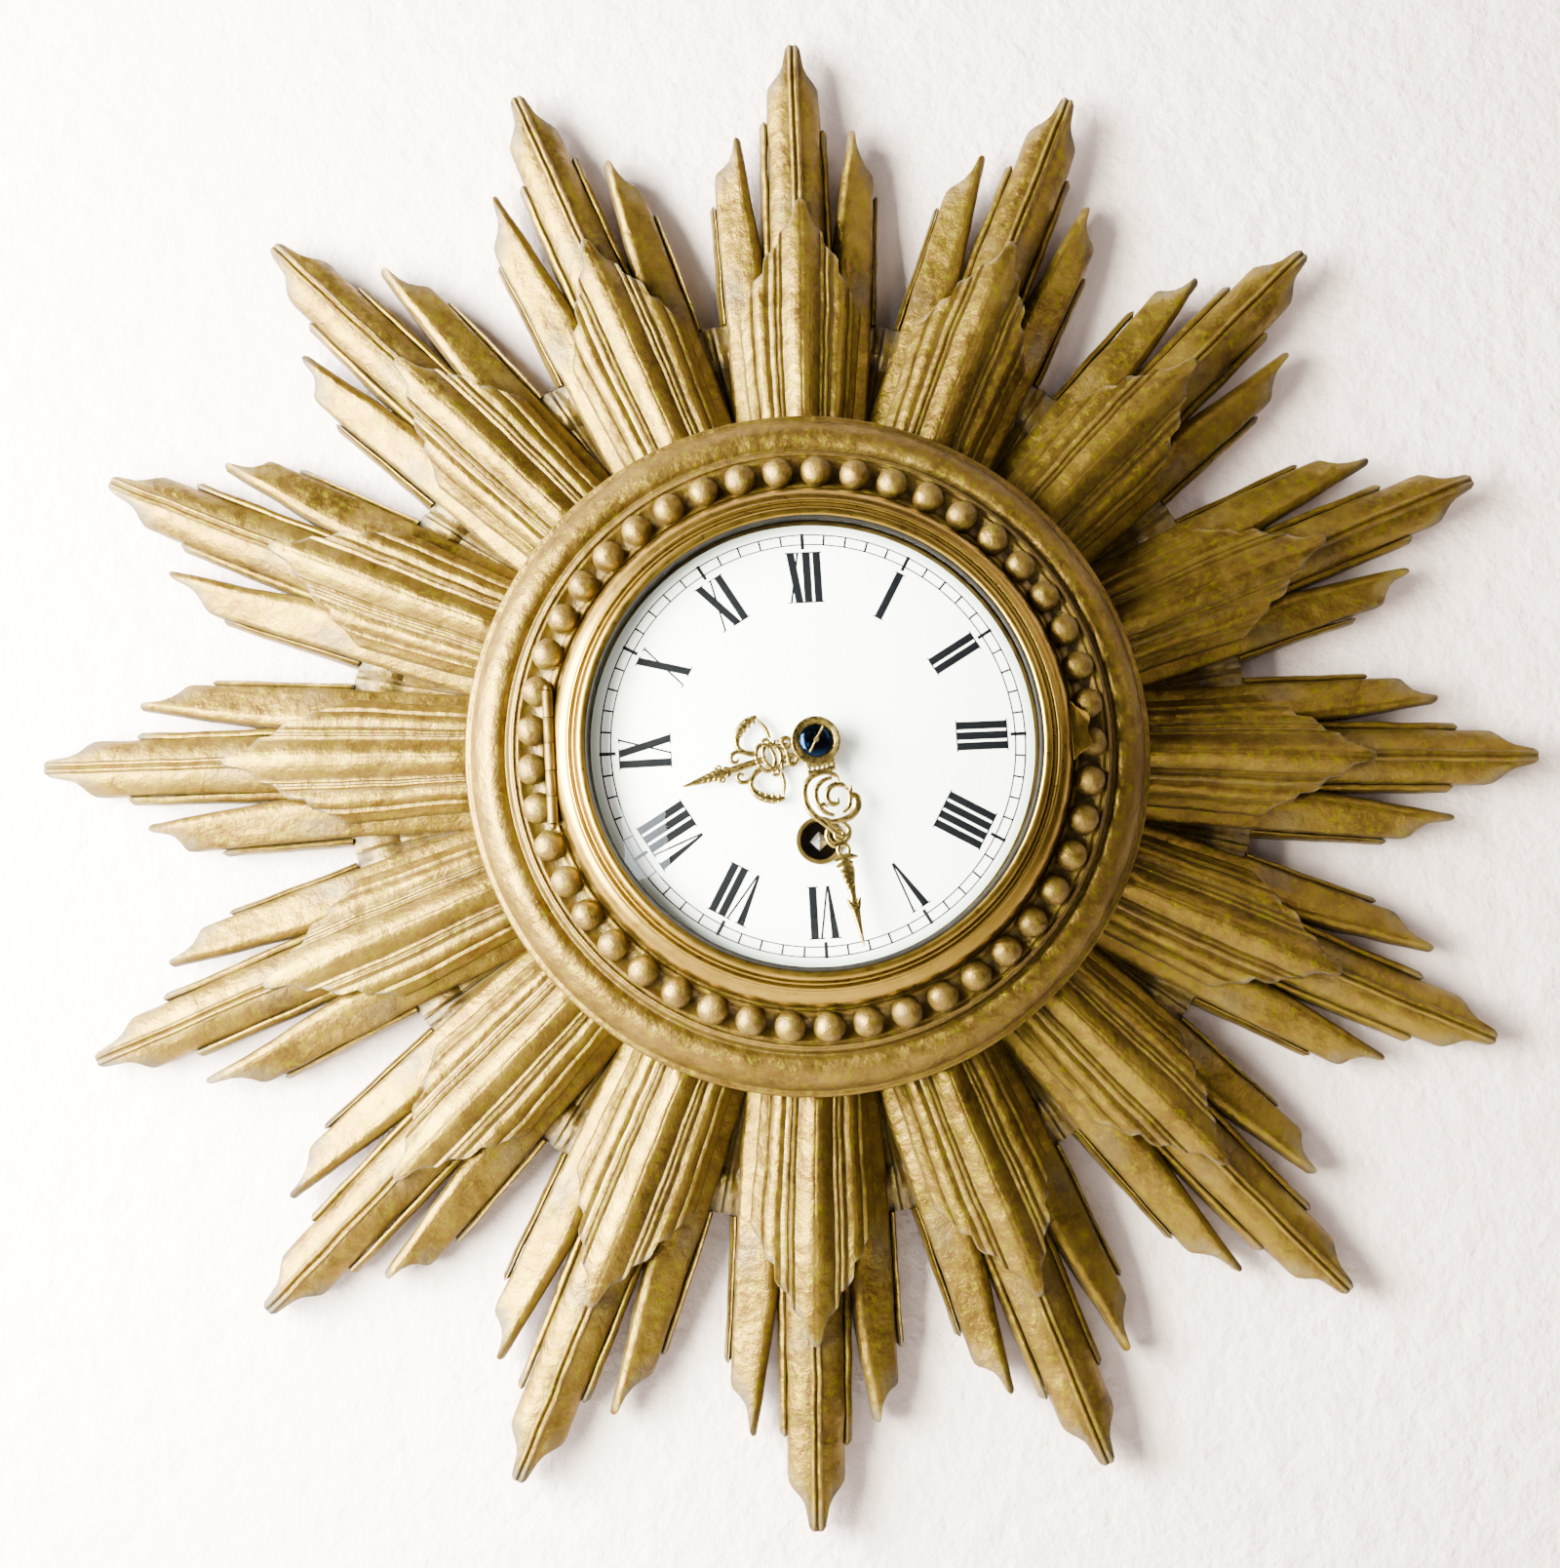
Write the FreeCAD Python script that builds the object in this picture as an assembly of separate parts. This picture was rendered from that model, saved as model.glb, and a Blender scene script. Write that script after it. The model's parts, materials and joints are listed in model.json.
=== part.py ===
import FreeCAD, Part
import math
import os

# A sunburst wall clock, drawn lying on its back: x to the right, y towards 12 o'clock,
# z forward from the wall. Every solid is stood upright just before it is written.
# Lengths are in millimetres, angles in degrees; dial angles run clockwise from 12.

FIT = 0.05                      # radial clearance of every running fit

# the carved case
BLOCKS = 16
BLOCK_ANGLE = 360 / BLOCKS
RAY_LEAD = 2.4                  # the blocks sit a little clockwise of the dial
RAY_BACK = 4.0                  # back face of the rays, on the backboard
BOARD_R = 118.0
BOARD_HOLE_R = 62.0
CORE_IN_R = 66.5
CORE_R = 92.0
LIP_R = 101.0
LIP_UNDER = 31.0
REBATE_R = 76.2
REBATE_Z = 45.0
BEADS = 45
BEAD_RING_R = 81.0
BEAD_R = 4.5
GROOVE_IN_R = 77.5
GROOVE_OUT_R = 84.5
BEAD_Z = 46.4

# the hanger let into the back, and the nail it drops over
HANGER_Y = 80.0
NAIL_HEAD_R = 4.5
NAIL_SLOT_HALF = 2.0
HANGER_T = 1.5

# dial, hands and glass
PAN_FLANGE_R = 74.5
DIAL_R = 64.0
DIAL_RIM_Z = 50.0
DIAL_CENTRE_Z = 52.0
DIAL_T = 1.2
WIND_HOLE_R = 6.4
BEZEL_R = 75.5
BEZEL_BACK = 46.4
HINGE_X = -75.6
HINGE_Z = 50.3
KNUCKLE = 7.6
KNUCKLES = 5
KNUCKLE_R = 1.6
HINGE_PIN_R = 0.6
MINUTE_ANGLE = 170.0            # the hands stand at twenty-eight minutes past eight
HOUR_ANGLE = 254.2

# the eight-day movement
PLATE_R = 46.0
PLATE_Y = -12.0
BACK_PLATE = (15.0, 17.0)
FRONT_PLATE = (40.0, 42.0)
PILLAR_ANGLES = (65, 135, 225, 295)
BOSS_ANGLES = (30, 110, 250, 330)
FIXING_R = 42.0
PRESSURE_ANGLE = math.radians(25)
TOOTH_FILL = 0.46               # share of the pitch taken by the tooth, the rest is backlash
BARREL_MODULE = 56 / 108        # 96 + 12 teeth on arbors 28 mm apart
CENTRE_MODULE = 0.45
THIRD_MODULE = 0.4
FOURTH_MODULE = 0.3
CANNON_MODULE = 0.5
HOUR_MODULE = 0.48
RATCHET_TEETH = 24
ESCAPE_TEETH = 15
ESCAPE_R = 4.5
BALANCE_R = 8.5


def vec(x, y, z=0.0):
    return FreeCAD.Vector(x, y, z)


def polar(radius, angle, origin=(0.0, 0.0)):
    a = math.radians(angle)
    return (origin[0] + radius * math.sin(a), origin[1] + radius * math.cos(a))


CENTRE = (0.0, 0.0)
BARREL = (0.0, -28.0)
THIRD = polar(CENTRE_MODULE * (80 + 10) / 2, -60)
FOURTH = polar(THIRD_MODULE * (75 + 10) / 2, 58.5, THIRD)
ESCAPE = polar(FOURTH_MODULE * (80 + 8) / 2, 80, FOURTH)
PALLET = (ESCAPE[0] + 5.0, ESCAPE[1] - 2.5)
BALANCE = (ESCAPE[0] + 10.5, ESCAPE[1] - 5.8)
COCK_FOOT = (BALANCE[0] + 9.2, BALANCE[1] - 6.9)
MINUTE_POST = polar(CANNON_MODULE * (12 + 36) / 2, 50)
CLICK_PIVOT_FROM_TOOTH = 50.0
TOOTH_FACE = -20.0              # the ratchet tooth that the click holds
CLICK_POST = polar(14.0, TOOTH_FACE + CLICK_PIVOT_FROM_TOOTH, BARREL)


def disc(radius, z0, z1, at=CENTRE):
    return Part.makeCylinder(radius, z1 - z0, vec(at[0], at[1], z0))


def ring(inner, outer, z0, z1, at=CENTRE):
    return disc(outer, z0, z1, at).cut(disc(inner, z0 - 1, z1 + 1, at))


def box(x0, x1, y0, y1, z0, z1):
    return Part.makeBox(x1 - x0, y1 - y0, z1 - z0, vec(x0, y0, z0))


def join(first, *others):
    return first.fuse(list(others)).removeSplitter()


def prism(points, z0, z1):
    corners = [vec(p[0], p[1], z0) for p in points]
    face = Part.Face(Part.makePolygon(corners + corners[:1]))
    return face.extrude(vec(0, 0, z1 - z0))


def turned(profile, at=CENTRE):
    """Revolve a closed outline of (radius, z) points."""
    corners = [vec(r, 0, z) for r, z in profile]
    face = Part.Face(Part.makePolygon(corners + corners[:1]))
    solid = face.revolve(vec(0, 0, 0), vec(0, 0, 1), 360)
    solid.translate(vec(at[0], at[1]))
    return solid


def bar(start, end, half_width, z0, z1):
    """A straight bar with round ends, from one point to another."""
    dx, dy = end[0] - start[0], end[1] - start[1]
    length = math.hypot(dx, dy)
    nx, ny = -dy / length * half_width, dx / length * half_width
    corners = [(start[0] + nx, start[1] + ny), (start[0] - nx, start[1] - ny),
               (end[0] - nx, end[1] - ny), (end[0] + nx, end[1] + ny)]
    return join(prism(corners, z0, z1), disc(half_width, z0, z1, start), disc(half_width, z0, z1, end))


def spun(solid, clockwise, at=CENTRE):
    copy = solid.copy()
    copy.rotate(vec(at[0], at[1]), vec(0, 0, 1), -clockwise)
    return copy


def around(count, radius, start=0.0, at=CENTRE):
    return [polar(radius, start + i * 360 / count, at) for i in range(count)]


def spiral(inner, outer, turns, thickness, z0, z1, at, start):
    """A flat coiled spring whose outer end stands at the start angle."""
    steps = int(turns * 16)
    edges = []
    for side in (-0.5, 0.5):
        points = []
        for i in range(steps + 1):
            radius = inner + (outer - inner) * i / steps + side * thickness
            points.append(vec(*polar(radius, start - (steps - i) * 22.5, at), z0))
        curve = Part.BSplineCurve()
        curve.interpolate(points)
        edges.append(curve.toShape())
    near, far = edges
    inner_end = Part.makeLine(near.valueAt(near.FirstParameter), far.valueAt(far.FirstParameter))
    outer_end = Part.makeLine(near.valueAt(near.LastParameter), far.valueAt(far.LastParameter))
    ends = [inner_end, outer_end]
    face = Part.Face(Part.Wire(Part.__sortEdges__(edges + ends)))
    return face.extrude(vec(0, 0, z1 - z0))


# ---------------------------------------------------------------- gears

def involute(angle):
    return math.tan(angle) - angle


def gear_outline(teeth, module, addendum, phase):
    """Involute teeth with backlash; the first tooth points along the phase angle (radians)."""
    pitch_r = teeth * module / 2
    base_r = pitch_r * math.cos(PRESSURE_ANGLE)
    root_r = pitch_r - 1.15 * module
    tip_r = pitch_r + addendum * module
    radii = [r for r in (root_r, base_r, pitch_r, tip_r) if r >= root_r]
    half = math.pi * TOOTH_FILL / teeth
    flank = []
    for r in radii:
        roll = math.acos(min(1.0, base_r / r))
        flank.append((r, half + involute(PRESSURE_ANGLE) - involute(roll)))
    points = []
    for i in range(teeth):
        middle = phase + i * 2 * math.pi / teeth
        for r, a in flank:
            points.append((r * math.cos(middle - a), r * math.sin(middle - a)))
        for r, a in reversed(flank):
            points.append((r * math.cos(middle + a), r * math.sin(middle + a)))
    return points


def pinion(leaves, module, z0, z1, at, phase):
    solid = prism(gear_outline(leaves, module, 0.9, phase), z0, z1)
    solid.translate(vec(at[0], at[1]))
    return solid


def wheel(teeth, module, z0, z1, at, phase, hub_r, spokes, addendum=0.7):
    """A toothed rim on spokes, with a round hub."""
    rim_in = teeth * module / 2 - 1.15 * module - 1.2
    rim = prism(gear_outline(teeth, module, addendum, phase), z0, z1).cut(disc(rim_in, z0 - 1, z1 + 1))
    arms = [disc(hub_r, z0, z1)]
    for i in range(spokes):
        a = phase + (i + 0.5) * 2 * math.pi / spokes
        end = ((rim_in + 0.3) * math.cos(a), (rim_in + 0.3) * math.sin(a))
        arms.append(bar(CENTRE, end, max(0.5, hub_r * 0.28), z0, z1))
    solid = join(rim, *arms)
    solid.translate(vec(at[0], at[1]))
    return solid


def meshed(teeth_a, phase_a, at_a, teeth_b, at_b):
    """Phase that gear b needs at rest for its gap to face a tooth of gear a."""
    line = math.atan2(at_b[1] - at_a[1], at_b[0] - at_a[0])
    share = teeth_a * (line - phase_a) / (2 * math.pi)
    return line + math.pi - 2 * math.pi / teeth_b * (0.5 - share)


def arbor(at, z0, z1, radius, pivot_r, pivot_low, pivot_high):
    """A shaft between two shoulders, with a thinner pivot at each end."""
    return join(disc(radius, z0, z1, at), disc(pivot_r, z0 - pivot_low, z0, at),
                disc(pivot_r, z1, z1 + pivot_high, at))


# ---------------------------------------------------------------- carved case

def ridge(stations):
    """A carved ray: sections (y, left, right, edge height, crest height) joined by flat facets."""
    sections = []
    for y, left, right, edge, crest in stations:
        corners = [vec(left, y, RAY_BACK), vec(right, y, RAY_BACK), vec(right, y, edge),
                   vec((left + right) / 2, y, crest), vec(left, y, edge)]
        sections.append(Part.makePolygon(corners + corners[:1]))
    return Part.makeLoft(sections, True, True)


def ray_block():
    """One of the sixteen carved blocks: a long ray, two flank rays and the raised leaf over them."""
    long_ray = ridge([(90, -10.1, 10.1, 18, 25), (140, -10.1, 10.1, 14, 20), (202, -10.1, 10.1, 9, 13.5),
                      (215, -8.2, 8.2, 8.5, 11.5), (217.5, -2.6, 2.6, 8, 10.5),
                      (229.5, -1.9, 1.9, 7.5, 9.5)])
    right_ray = ridge([(90, 8.5, 17.5, 17, 22), (138, 9.5, 21.0, 12, 17), (151, 10.0, 22.9, 11, 16),
                       (153, 12.4, 23.1, 11, 15.8), (177, 14.0, 26.0, 9, 12.4), (178.5, 14.1, 24.7, 9, 12.2),
                       (187, 14.9, 25.3, 8, 11), (192, 15.4, 21.2, 7.5, 10), (199, 16.2, 18.6, 7, 9)])
    left_ray = right_ray.mirror(vec(0, 0), vec(1, 0))
    leaf = ridge([(90, -15.5, 15.5, 26, 30.8), (101.6, -16, 16, 26.5, 30.9), (104, -16.2, 16.2, 26.5, 32),
                  (139.5, -18.6, 18.6, 20, 27), (147.5, -14.2, 14.2, 19, 26), (148.5, -11.6, 11.6, 19, 25.8),
                  (154.8, -11.2, 11.2, 18, 25), (158, -7.2, 7.2, 17.5, 24), (163.4, -6.2, 6.2, 17, 23),
                  (167, -3, 3, 16.5, 21.8), (172.6, -1.8, 1.8, 16, 20), (174, -0.8, 0.8, 16, 19.5)])
    half = BLOCK_ANGLE / 2
    edge_r = 138.5
    web = prism([polar(88, -half), polar(edge_r, -half), polar(edge_r - 5, 0), polar(edge_r, half),
                 polar(88, half)], RAY_BACK, 11.0)
    block = join(long_ray, right_ray, left_ray, leaf, web)
    # the blocks meet their neighbours on two straight glued faces and the ring on a round one
    reach = 260
    inside = prism([CENTRE, polar(reach, -half + 0.01), polar(reach, half - 0.01)], 0, 60)
    return block.common(inside).cut(disc(CORE_R + FIT, 0, 60))


def hanger_pocket(z1):
    return box(-7, 7, 69.5, 90, HANGER_T - 0.01, z1)


def hanger_screw_places():
    return [(-13.0, HANGER_Y), (13.0, HANGER_Y)]


def wood_screw(at, head_z, head_r, head_t, shank_r, tip_z, forward):
    """Countersunk wood screw; forward is +1 when it is driven towards the dial."""
    z_under = head_z + forward * head_t
    profile = [(0, head_z), (head_r, head_z), (shank_r, z_under), (shank_r, tip_z - forward * 2), (0, tip_z)]
    return turned(profile, at)


def backboard():
    board = ring(BOARD_HOLE_R, BOARD_R, 0, RAY_BACK)
    board = board.cut(box(-16.1, 16.1, 69.9, 92.1, -1, HANGER_T))
    return board.cut([hanger_pocket(5)] + [disc(1.25, 0, 5, p) for p in hanger_screw_places()])


def moulding_ring():
    """Turned ring: a core that stands on the backboard and a moulded lip over the rays."""
    profile = [(CORE_IN_R, RAY_BACK), (CORE_R, RAY_BACK), (CORE_R, LIP_UNDER), (LIP_R, LIP_UNDER),
               (LIP_R, 34.2), (100.4, 35.2), (99.2, 35.6), (98.8, 37.2), (96.5, 40.8), (93.5, 42.8),
               (90.5, 43.0), (88.8, 41.8), (88.2, 42.6), (87.4, 44.9), (86.6, 44.6), (86.0, 45.4),
               (85.2, 45.0), (GROOVE_OUT_R, 44.7), (GROOVE_OUT_R, 43.5), (GROOVE_IN_R, 43.5),
               (GROOVE_IN_R, 45.9), (REBATE_R, 46.1),
               (REBATE_R, REBATE_Z), (CORE_IN_R, REBATE_Z)]
    body = turned(profile).cut([hanger_pocket(16)] + [disc(1.25, 3, 14, p) for p in hanger_screw_places()])
    holes = [disc(1.25, 36.5, 46, p) for p in pan_screw_places()]
    return body.cut(holes + hinge_space())


def bead_row():
    """Beading strip: forty-five beads on a flat base, let into the groove of the ring."""
    base = ring(GROOVE_IN_R + 0.05, GROOVE_OUT_R - 0.05, 43.5, 44.9)
    beads = [Part.makeSphere(BEAD_R, vec(p[0], p[1], BEAD_Z)) for p in around(BEADS, BEAD_RING_R, 4)]
    below = disc(90, 40, 43.5)
    ring_sides = [ring(REBATE_R - 6, GROOVE_IN_R, 40, 46.1), ring(GROOVE_OUT_R, 90, 40, 45.4)]
    return join(base, *beads).cut([below] + ring_sides + hinge_space())


def hanger_plate():
    plate = box(-16, 16, 70, 92, 0, HANGER_T)
    entry = disc(NAIL_HEAD_R, -1, 3, (0, 76))
    slot = bar((0, 76), (0, 86), NAIL_SLOT_HALF, -1, 3)
    heads = [wood_screw(p, 0, 2.4, 1.2, 1.2, 8, 1) for p in hanger_screw_places()]
    return plate.cut([entry, slot] + heads)


def hanger_screws():
    return [wood_screw(p, 0, 2.4, 1.2, 1.2, 12, 1) for p in hanger_screw_places()]


# ---------------------------------------------------------------- dial, glass and hinge

def pan_screw_places():
    return around(6, 70, 30)


def knuckle_spans(moving):
    low = -KNUCKLES * KNUCKLE / 2
    return [(low + i * KNUCKLE, low + (i + 1) * KNUCKLE) for i in range(KNUCKLES) if (i % 2 == 1) == moving]


def along_hinge(radius, y0, y1):
    return Part.makeCylinder(radius, y1 - y0, vec(HINGE_X, y0, HINGE_Z), vec(0, 1, 0))


def hinge_space():
    """Room cut in the wood and the beading for the hinge and the tab that carries it."""
    half = KNUCKLES * KNUCKLE / 2 + 2.3
    return [along_hinge(KNUCKLE_R + 0.3, -half, half), box(-76.6, -70, -half, half, REBATE_Z, HINGE_Z)]


def pin_screw(at, head_z, toward):
    """Small cheese-head screw; toward is +1 when its shank points forward."""
    head = disc(1.7, min(head_z, head_z - toward * 1.2), max(head_z, head_z - toward * 1.2), at)
    shank = disc(1.0, min(head_z, head_z + toward * 4.5), max(head_z, head_z + toward * 4.5), at)
    slot = box(at[0] - 1.7, at[0] + 1.7, at[1] - 0.2, at[1] + 0.2,
               *sorted((head_z - toward * 1.2, head_z - toward * 0.7)))
    return join(head, shank).cut(slot)


def boss_places():
    return [polar(FIXING_R, a, (0, PLATE_Y)) for a in BOSS_ANGLES]


def dial_foot_places():
    return around(3, 50, 75)


def dial_pan():
    """Spun brass pan behind the dial, with the fixed half of the bezel hinge and four bosses."""
    profile = [(22, 46), (65, 46), (65, REBATE_Z), (PAN_FLANGE_R, REBATE_Z), (PAN_FLANGE_R, 46.2),
               (65, 46.2),
               (65, 50.3), (64.1, 50.3), (64.1, 48.8), (61, 48.8), (61, 47), (22, 47)]
    tab = box(-76.3, -72, -19, 19, REBATE_Z, 46.2)
    knuckles = []
    for y0, y1 in knuckle_spans(moving=False):
        knuckles.append(box(-76.3, -74.9, y0 + 0.05, y1 - 0.05, 46, HINGE_Z))
        knuckles.append(along_hinge(KNUCKLE_R, y0 + 0.05, y1 - 0.05))
    bosses = [disc(2.6, FRONT_PLATE[1], 46.5, p) for p in boss_places()]
    pan = join(turned(profile), tab, *knuckles, *bosses)
    holes = [disc(1.25, 44, 47, p) for p in pan_screw_places()]
    holes += [disc(1.0 + FIT, 41, 45.5, p) for p in boss_places()]
    holes += [disc(1.2 + FIT, 45, 48, p) for p in dial_foot_places()]
    holes += [disc(7.0, 45, 48, BARREL), along_hinge(HINGE_PIN_R, -25, 25)]
    return pan.cut(holes)


def pan_screws():
    screws = []
    for p in pan_screw_places():
        head = disc(2.4, 46.2, 47.3, p)
        slot = box(p[0] - 2.4, p[0] + 2.4, p[1] - 0.25, p[1] + 0.25, 46.9, 47.3)
        screws.append(join(head, disc(1.2, 37, 46.2, p)).cut(slot))
    return screws


def dome(radius, rim_z, centre_z, thickness):
    """A shallow domed disc of even thickness, front face first."""
    def arc(drop):
        rise = centre_z - rim_z
        middle = vec(radius / 2, 0, centre_z - drop - rise / 4)
        return Part.Arc(vec(0, 0, centre_z - drop), middle, vec(radius, 0, rim_z - drop)).toShape()
    front, back = arc(0), arc(thickness)
    rim = Part.makeLine(vec(radius, 0, rim_z), vec(radius, 0, rim_z - thickness))
    axis = Part.makeLine(vec(0, 0, centre_z), vec(0, 0, centre_z - thickness))
    face = Part.Face(Part.Wire(Part.__sortEdges__([front, rim, back, axis])))
    return face.revolve(vec(0, 0, 0), vec(0, 0, 1), 360)


def dial_enamel():
    plate = dome(DIAL_R, DIAL_RIM_Z, DIAL_CENTRE_Z, DIAL_T)
    return plate.cut([disc(4.5, 45, 55), disc(WIND_HOLE_R, 45, 55, BARREL)])


def dial_feet():
    plate = dome(DIAL_R, DIAL_RIM_Z, DIAL_CENTRE_Z, 2 * DIAL_T)
    plate.translate(vec(0, 0, DIAL_T))
    return [disc(1.2, 43.5, 50.5, p).cut(plate) for p in dial_foot_places()]


def winding_grommet():
    bore, tube = WIND_HOLE_R - 0.9, WIND_HOLE_R - 0.05
    profile = [(bore, 49.6), (tube, 49.6), (tube, 51.8), (tube + 0.55, 51.98), (tube + 0.35, 52.35),
               (bore + 0.3, 52.35), (bore, 51.95)]
    return turned(profile, BARREL)


def movement_can():
    profile = [(58.8, 1.2), (60, 1.2), (60, 44.8), (64.4, 44.8), (64.4, 46), (58.8, 46)]
    return turned(profile)


def back_cover():
    """Flat lid with a short rim that pushes into the back of the can."""
    profile = [(0, 0), (60, 0), (60, 1.2), (58.7, 1.2), (58.7, 6), (57.6, 6), (57.6, 1.2), (0, 1.2)]
    return turned(profile)


def bezel_ring():
    """Brass glazing bezel: a satin band, fine rings, the lip over the glass and a tab to lift it by."""
    profile = [(BEZEL_R, BEZEL_BACK), (BEZEL_R, 48.4), (75.1, 50.2), (74.1, 52.1), (72.6, 53.7),
               (70.9, 54.8),
               (70.7, 55.5), (70.0, 55.9), (69.6, 55.5), (69.3, 56.2), (68.7, 56.6), (68.3, 56.2),
               (68.0, 57.2), (67.2, 57.9), (66.0, 58.0), (65.4, 57.5), (65.4, 56.55), (67.0, 56.55),
               (67.0, 53.2), (69.4, 53.2), (71.4, 52.4), (73.0, 50.6), (73.8, 48.6), (73.9, BEZEL_BACK)]
    body = turned(profile)
    for y0, y1 in knuckle_spans(moving=True):
        tab = box(-75.6, -73.2, y0 + 0.1, y1 - 0.1, 49.0, HINGE_Z)
        body = join(body, along_hinge(KNUCKLE_R, y0 + 0.1, y1 - 0.1), tab)
    for y0, y1 in knuckle_spans(moving=False):
        body = body.cut([along_hinge(KNUCKLE_R + 0.4, y0 - 0.1, y1 + 0.1),
                         box(-77, -74.3, y0 - 0.1, y1 + 0.1, 45, HINGE_Z)])
    upper = [(73.5, 8.6), (75.3, 8.2), (76.2, 7.0), (79.3, 5.2), (80.2, 3.9), (80.1, 2.4), (79.2, 0)]
    lower = [(x, -y) for x, y in reversed(upper[:-1])]
    lifting_tab = prism(upper + lower, 51.05, 51.8)
    return join(body, lifting_tab).cut(along_hinge(HINGE_PIN_R + FIT, -25, 25))


def bezel_glass():
    """Domed clock glass with a flat rim, under the lip of the bezel."""
    bulge = dome(65.3, 56.5, 65.6, 1.3)
    rim = ring(64.6, 66.9, 55.2, 56.5)
    return join(bulge, rim)


def glass_retainer():
    return ring(65.3, 66.95, 54.0, 55.15)


def hinge_pin():
    half = KNUCKLES * KNUCKLE / 2
    ball = [Part.makeSphere(1.1, vec(HINGE_X, s * (half + 0.9), HINGE_Z)) for s in (-1, 1)]
    return join(along_hinge(HINGE_PIN_R, -half - 0.9, half + 0.9), *ball)


# ---------------------------------------------------------------- hands

def hoop(along, aside, half_length, half_width, band, z0, z1):
    """An oval ring of the hand's openwork, centred along and beside its middle line."""
    outer = Part.makeCylinder(1, z1 - z0, vec(0, 0, z0))
    inner = Part.makeCylinder(1, z1 - z0, vec(0, 0, z0))
    grow = FreeCAD.Matrix()
    grow.scale(half_width, half_length, 1)
    shrink = FreeCAD.Matrix()
    shrink.scale(half_width - band, half_length - band, 1)
    solid = outer.transformGeometry(grow).cut(inner.transformGeometry(shrink))
    solid.translate(vec(aside, along))
    return solid


def blade(outline, z0, z1):
    """A leaf drawn as (distance along, half width) and mirrored about the middle line."""
    right = [(half, along) for along, half in outline]
    left = [(-half, along) for along, half in reversed(outline)]
    return prism(right + left, z0, z1)


def minute_hand():
    z0, z1 = 55.8, 56.5
    hand = join(disc(4.4, z0, z1),
                hoop(12.6, -0.6, 9.2, 5.6, 1.5, z0, z1), hoop(12.0, 1.8, 7.0, 3.4, 0.9, z0, z1),
                hoop(24.0, 0, 3.0, 2.4, 0.9, z0, z1),
                blade([(26.4, 1.0), (29, 1.9), (33, 1.3), (38, 1.1), (41, 2.0), (43, 1.0), (60, 0.35)],
                      z0, z1))
    return spun(hand.cut(disc(1.8, z0 - 1, z1 + 1)), MINUTE_ANGLE)


def hour_hand():
    z0, z1 = 53.5, 54.3
    hand = join(disc(5.6, z0, z1),
                hoop(9.4, -4.6, 4.4, 3.2, 0.9, z0, z1), hoop(9.4, 4.6, 4.4, 3.2, 0.9, z0, z1),
                hoop(13.6, 0, 5.4, 3.4, 1.1, z0, z1), hoop(19.5, 0, 2.6, 2.8, 1.0, z0, z1),
                blade([(4, 1.2), (8.6, 1.2)], z0, z1),
                blade([(21.4, 1.2), (24, 2.6), (27, 1.4), (30, 2.2), (33, 1.0), (40, 0.3)], z0, z1))
    return spun(hand.cut(disc(2.8, z0 - 1, z1 + 1)), HOUR_ANGLE)


def pin_body():
    """Taper pin through the end of the centre arbor, across the collet."""
    pin = Part.makeCone(0.28, 0.36, 8.5, vec(0, -4.1, 0), vec(0, 1, 0))
    pin.rotate(vec(0, 0, 0), vec(0, 0, 1), -30)
    pin.translate(vec(0, 0, 60.1))
    return pin


def hand_collet():
    """Dished brass collet with a small dome, pressed down on the minute hand."""
    profile = [(1.22, 56.55), (5.2, 56.55), (7.0, 57.5), (6.9, 57.9), (5.2, 57.3), (4.75, 57.4),
               (4.65, 58.1), (3.6, 59.0), (1.9, 59.5), (0.72, 59.6), (0.72, 58.4), (1.22, 58.4)]
    return turned(profile)


# ---------------------------------------------------------------- movement frame

def pillar_places():
    return [polar(FIXING_R, a, (0, PLATE_Y)) for a in PILLAR_ANGLES]


def platform_screw_places():
    return [(ESCAPE[0] - 6.5, ESCAPE[1] - 5.0), (BALANCE[0] + 13.5, BALANCE[1] - 2.0)]


def front_plate():
    plate = disc(PLATE_R, *FRONT_PLATE, at=(0, PLATE_Y))
    face = FRONT_PLATE[1]
    posts = [disc(1.0, face - 1, 46.8, MINUTE_POST), disc(1.2, face - 1, 44.9, CLICK_POST)]
    holes = [disc(1.0 + FIT, 39, 43, p) for p in pillar_places() + boss_places()]
    holes += [disc(1.2 + FIT, 39, 43), disc(2.9 + FIT, 39, 43, BARREL), disc(0.6 + FIT, 39, 43, THIRD),
              disc(0.5 + FIT, 39, 43, FOURTH), disc(0.35 + FIT, 39, 43, ESCAPE)]
    return join(plate.cut(holes), *posts)


def back_plate():
    plate = disc(PLATE_R, *BACK_PLATE, at=(0, PLATE_Y))
    holes = [disc(1.0 + FIT, 14, 18, p) for p in pillar_places() + platform_screw_places()]
    holes += [disc(0.8 + FIT, 14, 18), disc(2.0 + FIT, 14, 18, BARREL), disc(0.6 + FIT, 14, 18, THIRD),
              disc(0.5 + FIT, 14, 18, FOURTH), disc(1.5, 14, 18, ESCAPE)]
    return plate.cut(holes)


def plate_pillars():
    pillars = []
    for p in pillar_places():
        body = turned([(0, 17), (3, 17), (3, 19), (2.3, 20), (2.3, 37), (3, 38), (3, 40), (0, 40)], p)
        pillars.append(body.cut([disc(1.0 + FIT, 16, 21, p), disc(1.0 + FIT, 36, 41, p)]))
    return pillars


def plate_screws():
    screws = []
    for p in pillar_places():
        screws.append(pin_screw(p, BACK_PLATE[0], 1))
        screws.append(pin_screw(p, FRONT_PLATE[1], -1))
    for p in boss_places():
        screws.append(pin_screw(p, FRONT_PLATE[0], 1))
    for p in platform_screw_places():
        screws.append(join(disc(1.7, 12.4, 13.5, p), disc(1.0, 13.5, 16.9, p)))
    return screws


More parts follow.
